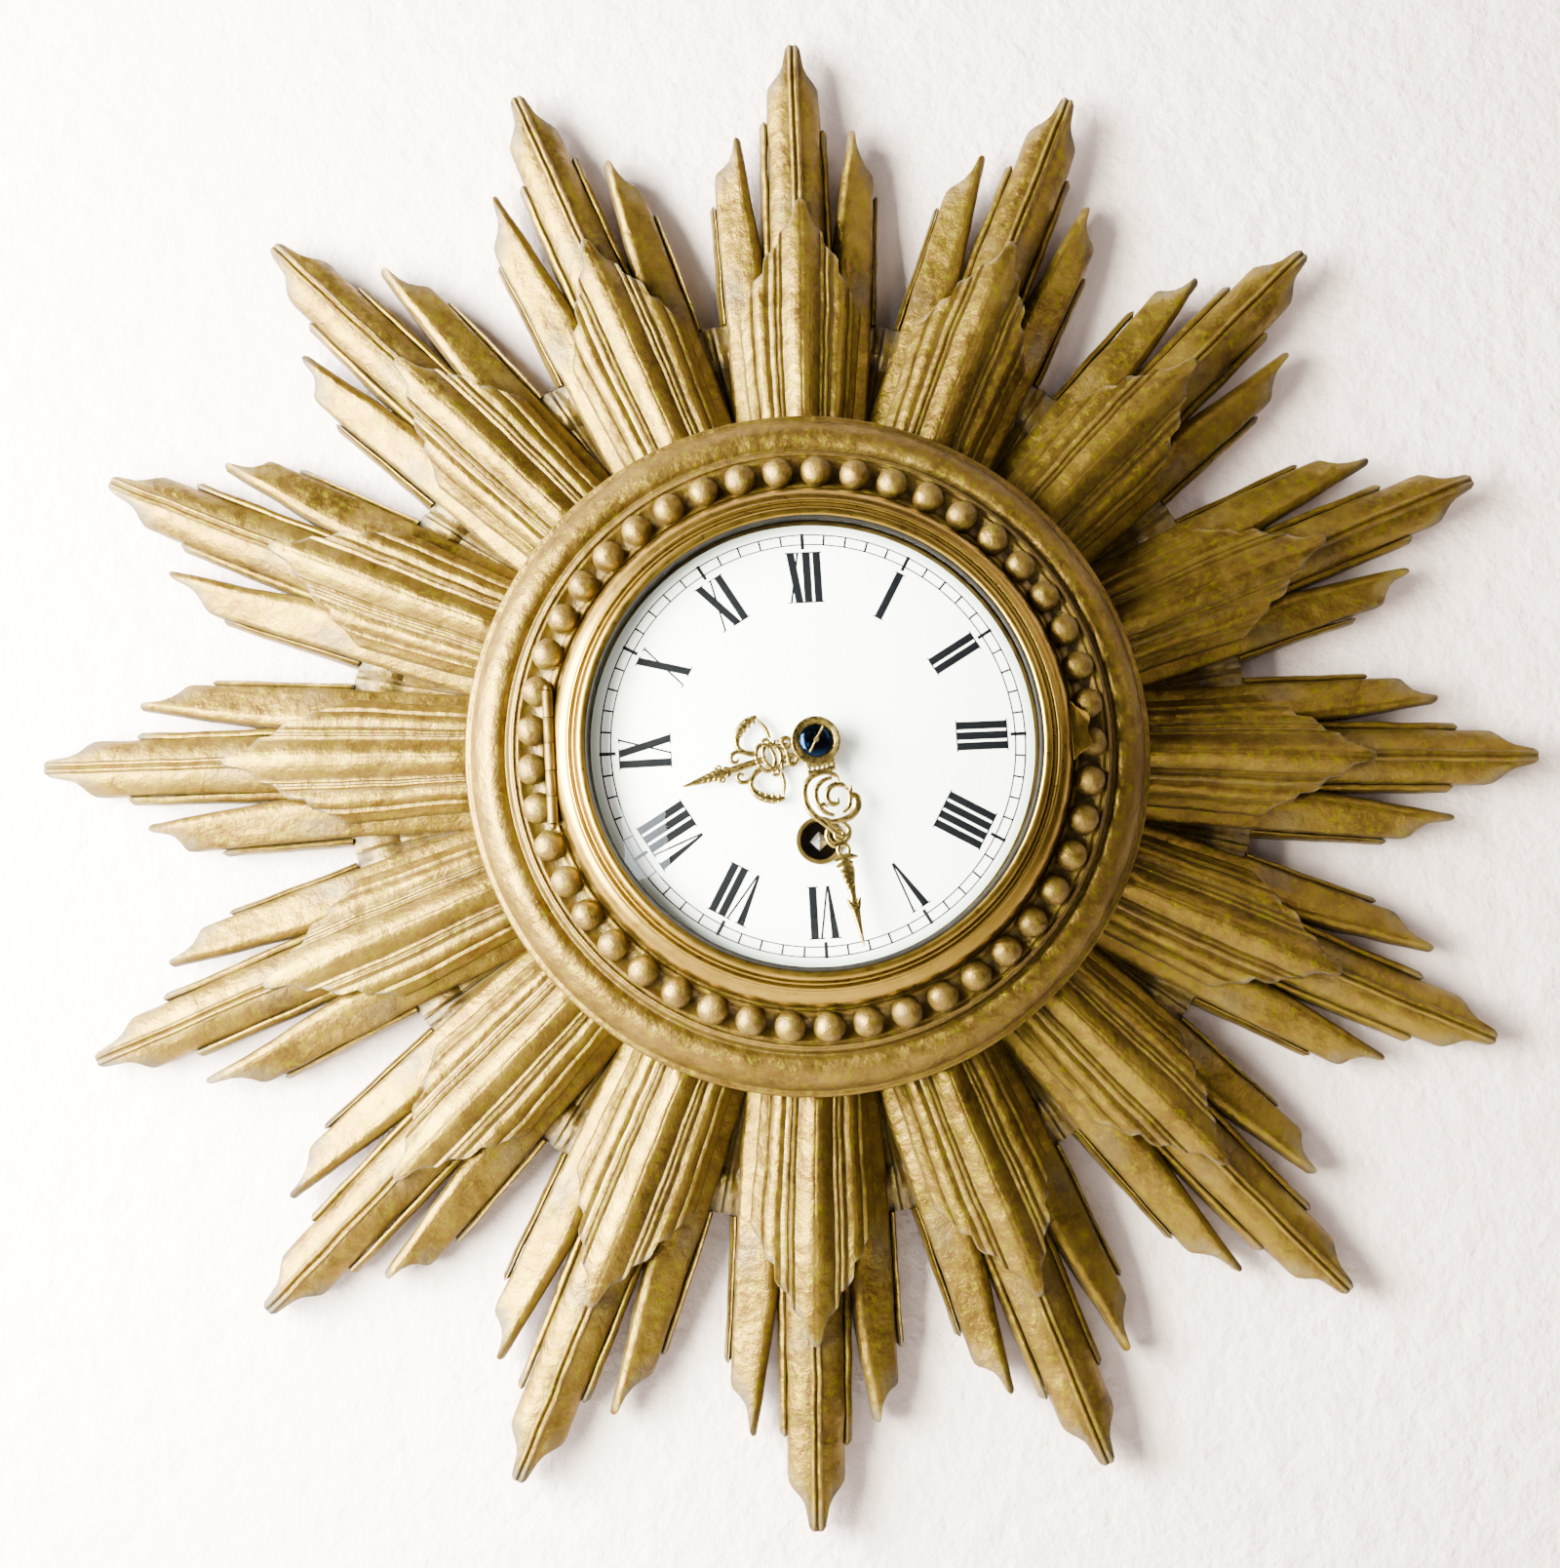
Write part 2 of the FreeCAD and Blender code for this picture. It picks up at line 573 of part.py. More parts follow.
# ---------------------------------------------------------------- power

BARREL_PHASE = 0.0
RATCHET_Z = (42.3, 43.8)


def barrel_drum():
    shell = turned([(3.05, 36.8), (22.4, 36.8), (22.4, 21.5), (23.4, 21.5), (23.4, 38), (3.05, 38)], BARREL)
    teeth = prism(gear_outline(96, BARREL_MODULE, 0.7, BARREL_PHASE), 33, 36).cut(disc(23.0, 32, 37))
    teeth.translate(vec(BARREL[0], BARREL[1]))
    return join(shell, teeth)


def barrel_cap():
    return ring(3.05, 22.4, 21.5, 22.7, BARREL)


def mainspring():
    return spiral(6.0, 21.9, 11, 0.55, 23.2, 36.3, BARREL, 90)


def barrel_arbor():
    """Winding arbor: core inside the barrel, a pivot in each plate and the winding square."""
    core = disc(5.5, 22.8, 36.7, BARREL)
    shaft = join(disc(3.0, 17.2, 39.9, BARREL), disc(2.0, 14.6, 17.2, BARREL), disc(2.9, 39.9, 42.2, BARREL))
    return join(core, shaft, key_square(42, 48.9, 50))


def on_winding_axis(shape):
    """Stand a square shape on its corner and move it to the barrel's axis."""
    shape.rotate(vec(0, 0, 0), vec(0, 0, 1), 45)
    shape.translate(vec(*BARREL, 0))
    return shape


def key_square(z0, z1, tip):
    """Square end for the key, 4 mm across flats, with eased corners and a blunt point."""
    shank = Part.makeBox(4, 4, z1 - z0, vec(-2, -2, z0))
    point = Part.makeWedge(-2, z1, -2, -0.3, -0.3, 2, tip, 2, 0.3, 0.3)
    point.rotate(vec(0, 0, 0), vec(1, 0, 0), 90)
    return on_winding_axis(shank.fuse(point)).common(disc(2.7, z0, tip, BARREL))


def ratchet_wheel():
    points = []
    for i in range(RATCHET_TEETH):
        face = TOOTH_FACE + i * 360 / RATCHET_TEETH
        points.append(polar(9.0, face, BARREL))
        points.append(polar(7.6, face, BARREL))
    body = prism(points, *RATCHET_Z)
    return body.cut(on_winding_axis(Part.makeBox(4, 4, 3, vec(-2, -2, 42))))


def click_point(degrees, radius):
    return polar(radius, TOOTH_FACE + degrees, BARREL)


def click():
    """The pawl: its tip stands in a tooth gap of the ratchet wheel."""
    outline = [click_point(0.4, 7.95), click_point(12, 9.4), click_point(50, 12.2), click_point(50, 15.8),
               click_point(8, 11.4), click_point(0.4, 9.6)]
    body = join(prism(outline, *RATCHET_Z), disc(2.4, *RATCHET_Z, at=CLICK_POST))
    return body.cut(disc(1.2 + FIT, 41, 45, CLICK_POST))


def click_spring():
    """A bent wire spring standing on the front plate and leaning on the pawl."""
    foot = click_point(-24, 15.5)
    tip = click_point(5.5, 11.95)
    turn = click_point(-8, 15.6)
    return join(disc(1.1, FRONT_PLATE[1], RATCHET_Z[1], foot), bar(foot, turn, 0.35, 42.6, 43.5),
                bar(turn, tip, 0.35, 42.6, 43.5))


# ---------------------------------------------------------------- going train

CENTRE_PHASE = 0.0


def centre_wheel():
    """Centre arbor with its pinion and wheel; its front end carries the minute hand."""
    shaft = join(disc(1.6, 17.1, 39.9), disc(0.8, 14.6, 17.1), disc(1.2, 39.9, 58.3),
                 disc(0.7, 58.3, 60.9))
    teeth = pinion(12, BARREL_MODULE, 30, 39, CENTRE, meshed(96, BARREL_PHASE, BARREL, 12, CENTRE))
    body = wheel(80, CENTRE_MODULE, 18.2, 19.4, CENTRE, CENTRE_PHASE, 3.2, 5)
    return join(shaft, teeth, body).cut(pin_body())


def third_wheel():
    teeth = pinion(10, CENTRE_MODULE, 17.5, 24, THIRD, meshed(80, CENTRE_PHASE, CENTRE, 10, THIRD))
    body = wheel(75, THIRD_MODULE, 24.6, 25.6, THIRD, 0.0, 2.6, 5)
    return join(arbor(THIRD, 17.1, 39.9, 0.9, 0.6, 2.4, 2.4), teeth, body)


def fourth_wheel():
    teeth = pinion(10, THIRD_MODULE, 23.8, 27, FOURTH, meshed(75, 0.0, THIRD, 10, FOURTH))
    body = wheel(80, FOURTH_MODULE, 21, 21.8, FOURTH, 0.0, 2.0, 5)
    return join(arbor(FOURTH, 17.1, 39.9, 0.7, 0.5, 2.4, 2.4), teeth, body)


def toward(start, end):
    """Dial angle of the line from one point to another."""
    return math.degrees(math.atan2(end[0] - start[0], end[1] - start[1]))


def escape_wheel():
    """Fifteen pointed teeth; at rest both pallets face a gap."""
    first = toward(ESCAPE, PALLET) + 30 - 6
    step = 360 / ESCAPE_TEETH
    points = []
    for i in range(ESCAPE_TEETH):
        a = first + i * step
        points += [polar(3.5, a - 7, ESCAPE), polar(ESCAPE_R, a - 1.4, ESCAPE),
                   polar(ESCAPE_R, a + 1.4, ESCAPE), polar(3.5, a + 4, ESCAPE)]
    rim = prism(points, 11.5, 12.1).cut(disc(2.8, 11, 13, ESCAPE))
    spokes = [bar(ESCAPE, polar(3.0, first + i * 90, ESCAPE), 0.35, 11.5, 12.1) for i in range(4)]
    teeth = pinion(8, FOURTH_MODULE, 20.2, 22.6, ESCAPE, meshed(80, 0.0, FOURTH, 8, ESCAPE))
    return join(arbor(ESCAPE, 11.05, 39.9, 0.6, 0.35, 0.6, 2.2), disc(1.0, 11.5, 12.1, ESCAPE),
                rim, teeth, *spokes)


def motion_wheels():
    """Cannon pinion, minute wheel and hour wheel, which turn the hour hand twelve times slower."""
    leaves = pinion(12, CANNON_MODULE, 43, 44.2, CENTRE, 0.0)
    pipe = disc(1.8, 42.3, 56.5)
    cannon = join(leaves, pipe).cut(disc(1.2, 42, 57))
    phase = meshed(12, 0.0, CENTRE, 36, MINUTE_POST)
    small = pinion(10, HOUR_MODULE, 44.2, 46.6, MINUTE_POST, 0.0)
    middle = join(wheel(36, CANNON_MODULE, 43, 44.2, MINUTE_POST, phase, 2.2, 4), small)
    middle = middle.cut(disc(1.0 + FIT, 42, 48, MINUTE_POST))
    hour = wheel(40, HOUR_MODULE, 45, 46.2, CENTRE, meshed(10, 0.0, MINUTE_POST, 40, CENTRE), 3.6, 4)
    hour = join(hour, disc(2.8, 45, 54.4)).cut(disc(1.8 + FIT, 44, 55))
    return cannon, middle, hour


# ---------------------------------------------------------------- platform escapement

def platform_plate():
    """Platform with the bridge that holds the rear pivots of the escape wheel and the lever."""
    plate = bar((ESCAPE[0] - 0.5, ESCAPE[1] - 0.3), (BALANCE[0] + 7.5, BALANCE[1] - 5.5), 9.1, 13.5, 15)
    left_leg = polar(6.4, toward(PALLET, ESCAPE), ESCAPE)
    right_leg = polar(7.1, toward(PALLET, BALANCE) - 95, PALLET)
    bridge = join(bar(left_leg, PALLET, 1.1, 10.3, 11.0), bar(PALLET, right_leg, 1.1, 10.3, 11.0),
                  disc(1.1, 10.3, 13.6, left_leg), disc(1.1, 10.3, 13.6, right_leg))
    holes = [disc(0.6 + FIT, 13, 16, ESCAPE), disc(0.35 + FIT, 10, 12, ESCAPE),
             disc(0.25 + FIT, 10, 16, PALLET), disc(0.3 + FIT, 13, 16, BALANCE)]
    holes += [disc(1.0 + FIT, 13, 16, p) for p in platform_screw_places()]
    return join(plate, bridge).cut(holes)


def pallet_lever():
    """Lever with two pallets at the wheel and a fork at the balance roller."""
    z0, z1 = 11.5, 12.1
    aim = toward(ESCAPE, PALLET)
    pieces = [disc(0.9, z0, z1, PALLET)]
    for side in (-30, 30):
        pieces.append(bar(PALLET, polar(5.2, aim + side, ESCAPE), 0.32, z0, z1))
        pieces.append(bar(polar(4.79, aim + side, ESCAPE), polar(5.3, aim + side, ESCAPE), 0.25, z0, z1))
    reach = math.hypot(BALANCE[0] - PALLET[0], BALANCE[1] - PALLET[1]) - 1.12
    turn = toward(PALLET, BALANCE)
    fork = prism([(-0.35, 0), (-0.35, reach - 1.9), (-1.0, reach - 1.3), (-1.0, reach), (-0.45, reach),
                  (-0.45, reach - 0.9), (0.45, reach - 0.9), (0.45, reach), (1.0, reach),
                  (1.0, reach - 1.3), (0.35, reach - 1.9), (0.35, 0)], z0, z1)
    fork = spun(fork, turn)
    fork.translate(vec(PALLET[0], PALLET[1]))
    staff = arbor(PALLET, 11.05, 13.4, 0.4, 0.25, 0.7, 1.4)
    return join(staff, fork, *pieces)


def balance_wheel():
    """Balance with its staff, hairspring collet, roller and impulse pin."""
    rim = ring(7.3, BALANCE_R, 8.6, 9.8, BALANCE)
    aim = toward(BALANCE, PALLET)
    arms = bar(polar(7.6, aim + 90, BALANCE), polar(7.6, aim - 90, BALANCE), 0.7, 8.8, 9.5)
    staff = arbor(BALANCE, 6.3, 13.4, 0.5, 0.3, 1.5, 1.4)
    collet = disc(1.1, 6.9, 7.6, BALANCE)
    roller = disc(1.35, 12.3, 12.7, BALANCE)
    impulse = disc(0.15, 11.3, 12.4, polar(1.05, aim, BALANCE))
    return join(rim, arms, staff, collet, disc(1.4, 8.5, 9.9, BALANCE), roller, impulse)


def hairspring():
    return spiral(1.3, 4.2, 8, 0.12, 7.0, 7.5, BALANCE, toward(BALANCE, COCK_FOOT))


def balance_cock():
    """Bridge over the balance, with the stud that holds the outer end of the hairspring."""
    arm = bar(COCK_FOOT, BALANCE, 2.3, 4.6, 6.2)
    foot = disc(2.5, 4.6, 13.5, COCK_FOOT)
    stud = disc(0.35, 6.0, 7.5, polar(4.66, toward(BALANCE, COCK_FOOT), BALANCE))
    return join(arm, foot, stud).cut(disc(0.3 + FIT, 4.7, 7, BALANCE))


def regulator_index():
    """Index that turns on the cock, with a pointer and the pin that trims the hairspring."""
    away = toward(COCK_FOOT, BALANCE)
    z0, z1 = 3.8, 4.5
    pin_at = polar(4.6, away + 40, BALANCE)
    pointer = bar(polar(2.0, away, BALANCE), polar(7.5, away, BALANCE), 0.4, z0, z1)
    pin_arm = bar(polar(2.0, away + 40, BALANCE), pin_at, 0.4, z0, z1)
    return join(ring(1.2, 2.2, z0, z1, BALANCE), pointer, pin_arm, disc(0.2, z0, 7.4, pin_at))


# ---------------------------------------------------------------- the assembly

def assembly():
    nodes = {}
    block = ray_block()
    for i in range(BLOCKS):
        nodes["ray_block_%02d" % (i + 1)] = spun(block, i * BLOCK_ANGLE + RAY_LEAD)
    cannon, middle, hour = motion_wheels()
    nodes["cannon_pinion"] = cannon
    nodes["minute_wheel"] = middle
    nodes["hour_wheel"] = hour
    nodes["taper_pin"] = pin_body()
    makers = [
        backboard, moulding_ring, bead_row, hanger_plate, hanger_screws, dial_pan, pan_screws,
        dial_enamel, dial_feet, winding_grommet, movement_can, back_cover, bezel_ring,
        bezel_glass, glass_retainer, hinge_pin, minute_hand, hour_hand, hand_collet,
        front_plate, back_plate, plate_pillars, plate_screws, barrel_drum, barrel_cap,
        mainspring, barrel_arbor, ratchet_wheel, click, click_spring, centre_wheel,
        third_wheel, fourth_wheel, escape_wheel, platform_plate, pallet_lever, balance_wheel,
        hairspring, balance_cock, regulator_index]
    for maker in makers:
        nodes[maker.__name__] = maker()
    return nodes


def stand_up(shape):
    """Turn the clock upright: what pointed forward now points along -y, and 12 o'clock along z."""
    shape.rotate(vec(0, 0), vec(1, 0), 90)
    return shape


os.makedirs("parts", exist_ok=True)
for name, made in sorted(assembly().items()):
    shape = Part.makeCompound(made) if isinstance(made, list) else made
    solids = shape.Solids
    print(name, "solids", len(solids), "valid", shape.isValid(), "volume %.2f" % shape.Volume)
    if len(solids) == 1:
        shape = solids[0]
    stand_up(shape).exportStep("parts/%s.step" % name)
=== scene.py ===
import bpy
import json
import math
from mathutils import Matrix, Vector, noise


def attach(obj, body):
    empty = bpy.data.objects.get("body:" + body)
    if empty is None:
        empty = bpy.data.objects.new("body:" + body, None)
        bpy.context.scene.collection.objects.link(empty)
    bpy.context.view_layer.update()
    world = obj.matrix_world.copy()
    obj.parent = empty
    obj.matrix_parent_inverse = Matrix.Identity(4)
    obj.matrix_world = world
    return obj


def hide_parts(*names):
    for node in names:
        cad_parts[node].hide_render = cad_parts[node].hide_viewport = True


# Shapes are worked out in millimetres as the clock lies on its back: x to the right, y towards
# 12 o'clock, z forward from the wall. Dial angles run clockwise from 12 and are in degrees.

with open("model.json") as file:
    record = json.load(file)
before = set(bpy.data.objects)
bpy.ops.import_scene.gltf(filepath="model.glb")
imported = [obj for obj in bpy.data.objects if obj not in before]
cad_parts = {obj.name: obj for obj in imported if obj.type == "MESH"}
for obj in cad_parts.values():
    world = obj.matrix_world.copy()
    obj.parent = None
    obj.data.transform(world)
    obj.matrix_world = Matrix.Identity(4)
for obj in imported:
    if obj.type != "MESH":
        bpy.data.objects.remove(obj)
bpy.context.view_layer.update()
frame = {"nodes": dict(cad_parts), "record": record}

BLOCKS = 16
RAY_LEAD = 2.4
MINUTE_ANGLE = 170.0
HOUR_ANGLE = 254.2
DIAL_RIM_Z = 50.0
DIAL_CENTRE_Z = 52.0
DIAL_R = 64.0
LIP_R = 101.0
LIP_Z = 31.0
HINGE_X = -75.6
HINGE_Z = 50.3


def row(x, y, z):
    """From the lying frame in millimetres to the row frame in metres."""
    return (x / 1000, -z / 1000, y / 1000)


def polar(radius, angle):
    a = math.radians(angle)
    return radius * math.sin(a), radius * math.cos(a)


def table(points, x):
    """Straight-line interpolation in a list of (x, value) points."""
    if x <= points[0][0]:
        return points[0][1]
    for (x0, v0), (x1, v1) in zip(points, points[1:]):
        if x <= x1:
            return v0 + (v1 - v0) * (x - x0) / (x1 - x0)
    return points[-1][1]


def wobble(x, y, z, size):
    return noise.noise(Vector((x / size, y / size, z / size)))


# ---------------------------------------------------------------- materials

def make_material(name, color, metallic=0.0, roughness=0.5):
    material = bpy.data.materials.new(name)
    material.use_nodes = True
    shader = material.node_tree.nodes["Principled BSDF"]
    shader.inputs["Base Color"].default_value = (*color, 1)
    shader.inputs["Metallic"].default_value = metallic
    shader.inputs["Roughness"].default_value = roughness
    return material, material.node_tree, shader


def add(tree, kind, **settings):
    node = tree.nodes.new(kind)
    for key, value in settings.items():
        setattr(node, key, value)
    return node


def noise_map(tree, scale, detail, roughness, stretch=(1, 1, 1)):
    """Noise in the object's own coordinates; scale is in waves per metre."""
    where = add(tree, "ShaderNodeTexCoord")
    mapping = add(tree, "ShaderNodeMapping")
    mapping.inputs["Scale"].default_value = stretch
    texture = add(tree, "ShaderNodeTexNoise")
    texture.inputs["Scale"].default_value = scale
    texture.inputs["Detail"].default_value = detail
    texture.inputs["Roughness"].default_value = roughness
    tree.links.new(where.outputs["Object"], mapping.inputs["Vector"])
    tree.links.new(mapping.outputs["Vector"], texture.inputs["Vector"])
    return texture.outputs["Fac"]


def ramp(tree, source, stops):
    node = add(tree, "ShaderNodeValToRGB")
    stops_now = node.color_ramp.elements
    while len(stops_now) < len(stops):
        stops_now.new(0.5)
    for element, (position, color) in zip(stops_now, stops):
        element.position = position
        element.color = (*color, 1)
    tree.links.new(source, node.inputs["Fac"])
    return node.outputs["Color"]


def grey(value):
    return (value, value, value)


def mix(tree, amount, first, second, blend="MIX"):
    node = add(tree, "ShaderNodeMix", data_type="RGBA", blend_type=blend)
    for socket, value in ((node.inputs[0], amount), (node.inputs[6], first), (node.inputs[7], second)):
        if isinstance(value, (int, float)):
            socket.default_value = value
        elif isinstance(value, tuple):
            socket.default_value = (*value, 1)
        else:
            tree.links.new(value, socket)
    return node.outputs[2]


def multiply(tree, first, second):
    node = add(tree, "ShaderNodeMath", operation="MULTIPLY")
    for socket, value in ((node.inputs[0], first), (node.inputs[1], second)):
        if isinstance(value, (int, float)):
            socket.default_value = value
        else:
            tree.links.new(value, socket)
    return node.outputs[0]


def bump(tree, shader, layers):
    """Bump from (height, distance in mm) layers, one on top of the other."""
    normal = None
    for height, distance in layers:
        node = add(tree, "ShaderNodeBump")
        node.inputs["Strength"].default_value = 1.0
        node.inputs["Distance"].default_value = distance / 1000
        tree.links.new(height, node.inputs["Height"])
        if normal is not None:
            tree.links.new(normal, node.inputs["Normal"])
        normal = node.outputs["Normal"]
    tree.links.new(normal, shader.inputs["Normal"])


def vertex_value(tree, name):
    return add(tree, "ShaderNodeAttribute", attribute_name=name).outputs["Fac"]


GREEN_SPECK = (0.103, 0.086, 0.0005)
BROWN_STAIN = (0.045, 0.028, 0.006)
# dark brown for the hollows: grime and painted shade
GRIME_AND_SHADE = (0.024, 0.013, 0.002)
BARE_EDGE = (0.024, 0.017, 0.009)
PAINT_METALLIC = 0.9


def gilt_paint(name, dark, middle, light, grime_and_shade=1.0):
    """Bronze paint on carved wood: cloudy patina, grime and painted shade in the hollows, bare grey-brown
    edges.
    """
    material, tree, shader = make_material(name, middle, PAINT_METALLIC)
    clouds = noise_map(tree, 60, 6, 0.66)
    color = ramp(tree, clouds, [(0.34, dark), (0.50, middle), (0.66, light)])
    specks = ramp(tree, noise_map(tree, 420, 5, 0.75), [(0.51, grey(0)), (0.60, grey(1))])
    color = mix(tree, multiply(tree, specks, 0.8), color, GREEN_SPECK)
    stains = ramp(tree, noise_map(tree, 95, 6, 0.68), [(0.60, grey(0)), (0.74, grey(1))])
    color = mix(tree, multiply(tree, stains, 0.45), color, BROWN_STAIN)
    # the hollow value darkens the paint towards dark brown as grime and painted shade, and dulls its shine
    hollow = multiply(tree, vertex_value(tree, "hollow"), grime_and_shade)
    color = mix(tree, hollow, color, GRIME_AND_SHADE)
    patches = ramp(tree, noise_map(tree, 160, 5, 0.7), [(0.36, grey(0)), (0.60, grey(1))])
    worn = multiply(tree, vertex_value(tree, "worn"), patches)
    color = mix(tree, worn, color, BARE_EDGE)
    tree.links.new(color, shader.inputs["Base Color"])
    shine = mix(tree, worn, grey(PAINT_METALLIC), grey(0.1))
    tree.links.new(mix(tree, hollow, shine, grey(0.3)), shader.inputs["Metallic"])
    rough = ramp(tree, noise_map(tree, 210, 4, 0.6), [(0.3, grey(0.31)), (0.7, grey(0.52))])
    tree.links.new(mix(tree, worn, rough, grey(0.75)), shader.inputs["Roughness"])
    bump(tree, shader, [(noise_map(tree, 170, 3, 0.5), 0.9), (noise_map(tree, 1500, 4, 0.6), 0.14)])
    return material


def metal(name, dark, light, roughness, scale, depth):
    """Metal with slow changes of tone and finer changes of shine; depth of its bump is in mm."""
    material, tree, shader = make_material(name, light, 1.0)
    cloud = noise_map(tree, scale * 0.2, 4, 0.6)
    tree.links.new(ramp(tree, cloud, [(0.3, dark), (0.65, light)]), shader.inputs["Base Color"])
    marks = noise_map(tree, scale, 4, 0.6)
    tree.links.new(ramp(tree, marks, [(0.3, grey(roughness[0])), (0.7, grey(roughness[1]))]),
                   shader.inputs["Roughness"])
    bump(tree, shader, [(marks, depth)])
    return material


gilt_rays = gilt_paint("gilt_rays", (0.057, 0.031, 0.004), (0.095, 0.056, 0.008), (0.118, 0.077, 0.010))
gilt_ring = gilt_paint("gilt_ring", (0.064, 0.035, 0.004), (0.094, 0.055, 0.010), (0.114, 0.072, 0.013),
                       grime_and_shade=0.8)
bezel_brass = metal("bezel_brass", (0.15, 0.096, 0.014), (0.21, 0.135, 0.022), (0.26, 0.36), 400, 0.01)
clock_brass = metal("clock_brass", (0.55, 0.38, 0.13), (0.80, 0.60, 0.26), (0.20, 0.34), 260, 0.015)
can_brass = metal("can_brass", (0.38, 0.25, 0.09), (0.66, 0.48, 0.21), (0.28, 0.5), 160, 0.03)
hand_gilt = metal("hand_gilt", (0.16, 0.11, 0.024), (0.30, 0.21, 0.06), (0.2, 0.34), 700, 0.03)
dark_blue = metal("dark_blue", (0.0015, 0.004, 0.012), (0.003, 0.010, 0.03), (0.08, 0.16), 400, 0.004)
# darkened steel and brass; on the parts seen down the winding hole the darkness is painted shade
oiled_steel_and_shade = metal("oiled_steel_and_shade", (0.025, 0.016, 0.010), (0.06, 0.045, 0.03), (0.4, 0.6), 300, 0.02)
dull_brass_and_shade = metal("dull_brass_and_shade", (0.045, 0.028, 0.008), (0.10, 0.066, 0.018), (0.4, 0.6), 200, 0.02)
plain_steel = metal("plain_steel", (0.20, 0.20, 0.21), (0.50, 0.50, 0.50), (0.25, 0.45), 400, 0.015)
blued_steel = metal("blued_steel", (0.008, 0.02, 0.06), (0.015, 0.06, 0.16), (0.10, 0.2), 400, 0.004)


ENAMEL_WHITE = (0.90, 0.91, 0.94)
# greenish-grey painted shade for the enamel's rolled-over rim
ENAMEL_RIM_SHADE = (0.50, 0.57, 0.55)


def enamel_material():
    """White enamel: glossy, a little cool, with a greenish-grey painted shade where it rolls over at the
    rim.
    """
    material, tree, shader = make_material("white_enamel", ENAMEL_WHITE, 0, 0.16)
    where = add(tree, "ShaderNodeTexCoord")
    parts = add(tree, "ShaderNodeSeparateXYZ")
    tree.links.new(where.outputs["Object"], parts.inputs[0])
    flat = add(tree, "ShaderNodeCombineXYZ")
    tree.links.new(parts.outputs["X"], flat.inputs["X"])
    tree.links.new(parts.outputs["Z"], flat.inputs["Z"])
    length = add(tree, "ShaderNodeVectorMath", operation="LENGTH")
    tree.links.new(flat.outputs[0], length.inputs[0])
    outwards = multiply(tree, length.outputs["Value"], 1000 / DIAL_R)
    # painted shade: greenish grey over the last few millimetres out to the rim
    rim = ramp(tree, outwards, [(0.955, ENAMEL_WHITE), (0.985, ENAMEL_RIM_SHADE)])
    cloud = ramp(tree, noise_map(tree, 30, 3, 0.5), [(0.35, grey(0.965)), (0.65, grey(1.0))])
    tree.links.new(mix(tree, 1.0, rim, cloud, "MULTIPLY"), shader.inputs["Base Color"])
    bump(tree, shader, [(noise_map(tree, 60, 2, 0.5), 0.02)])
    shader.inputs["Coat Weight"].default_value = 0.5
    shader.inputs["Coat Roughness"].default_value = 0.05
    return material


def ink_material():
    """Black printing ink that hardly shines."""
    material, tree, shader = make_material("dial_ink", (0.002, 0.003, 0.005), 0, 0.5)
    shader.inputs["Specular IOR Level"].default_value = 0.1
    cloud = noise_map(tree, 900, 4, 0.7)
    tree.links.new(ramp(tree, cloud, [(0.35, (0.0004, 0.0007, 0.0013)), (0.75, (0.001, 0.0017, 0.003))]),
                   shader.inputs["Base Color"])
    return material


def glass_material():
    """Clear glass that mirrors the room on its outer side only, more at a slant than straight on."""
    material = bpy.data.materials.new("clear_glass")
    material.use_nodes = True
    tree = material.node_tree
    tree.nodes.clear()
    out = add(tree, "ShaderNodeOutputMaterial")
    both = add(tree, "ShaderNodeMixShader")
    slant = add(tree, "ShaderNodeFresnel")
    slant.inputs["IOR"].default_value = 1.5
    clear = add(tree, "ShaderNodeBsdfTransparent")
    clear.inputs["Color"].default_value = (0.985, 0.995, 0.988, 1)
    shine = add(tree, "ShaderNodeBsdfGlossy")
    shine.inputs["Roughness"].default_value = 0.02
    inner_side = add(tree, "ShaderNodeNewGeometry").outputs["Backfacing"]
    outer_side = add(tree, "ShaderNodeMath", operation="SUBTRACT")
    outer_side.inputs[0].default_value = 1
    tree.links.new(inner_side, outer_side.inputs[1])
    tree.links.new(multiply(tree, slant.outputs[0], outer_side.outputs[0]), both.inputs[0])
    tree.links.new(clear.outputs[0], both.inputs[1])
    tree.links.new(shine.outputs[0], both.inputs[2])
    tree.links.new(both.outputs[0], out.inputs["Surface"])
    return material


def wood_material():
    """Plain sawn wood with upright grain."""
    material, tree, shader = make_material("bare_wood", (0.34, 0.22, 0.12), 0, 0.65)
    grain = noise_map(tree, 60, 6, 0.6, (8, 1, 1))
    tree.links.new(ramp(tree, grain, [(0.3, (0.20, 0.12, 0.055)), (0.7, (0.42, 0.28, 0.15))]),
                   shader.inputs["Base Color"])
    bump(tree, shader, [(grain, 0.15)])
    return material


def putty_and_gap_shade_material():
    """Old dull black putty, also standing in as painted shadow in the gap between glass and rim."""
    material, tree, shader = make_material("black_putty_and_gap_shade", (0.003, 0.003, 0.003), 0, 0.7)
    shader.inputs["Specular IOR Level"].default_value = 0.1
    lumps = noise_map(tree, 300, 4, 0.6)
    tree.links.new(ramp(tree, lumps, [(0.3, (0.0015, 0.0015, 0.0015)), (0.7, (0.006, 0.005, 0.004))]),
                   shader.inputs["Base Color"])
    bump(tree, shader, [(lumps, 0.1)])
    return material


enamel = enamel_material()
black_putty_and_gap_shade = putty_and_gap_shade_material()
ink = ink_material()
clear_glass = glass_material()
bare_wood = wood_material()


# ---------------------------------------------------------------- mesh building

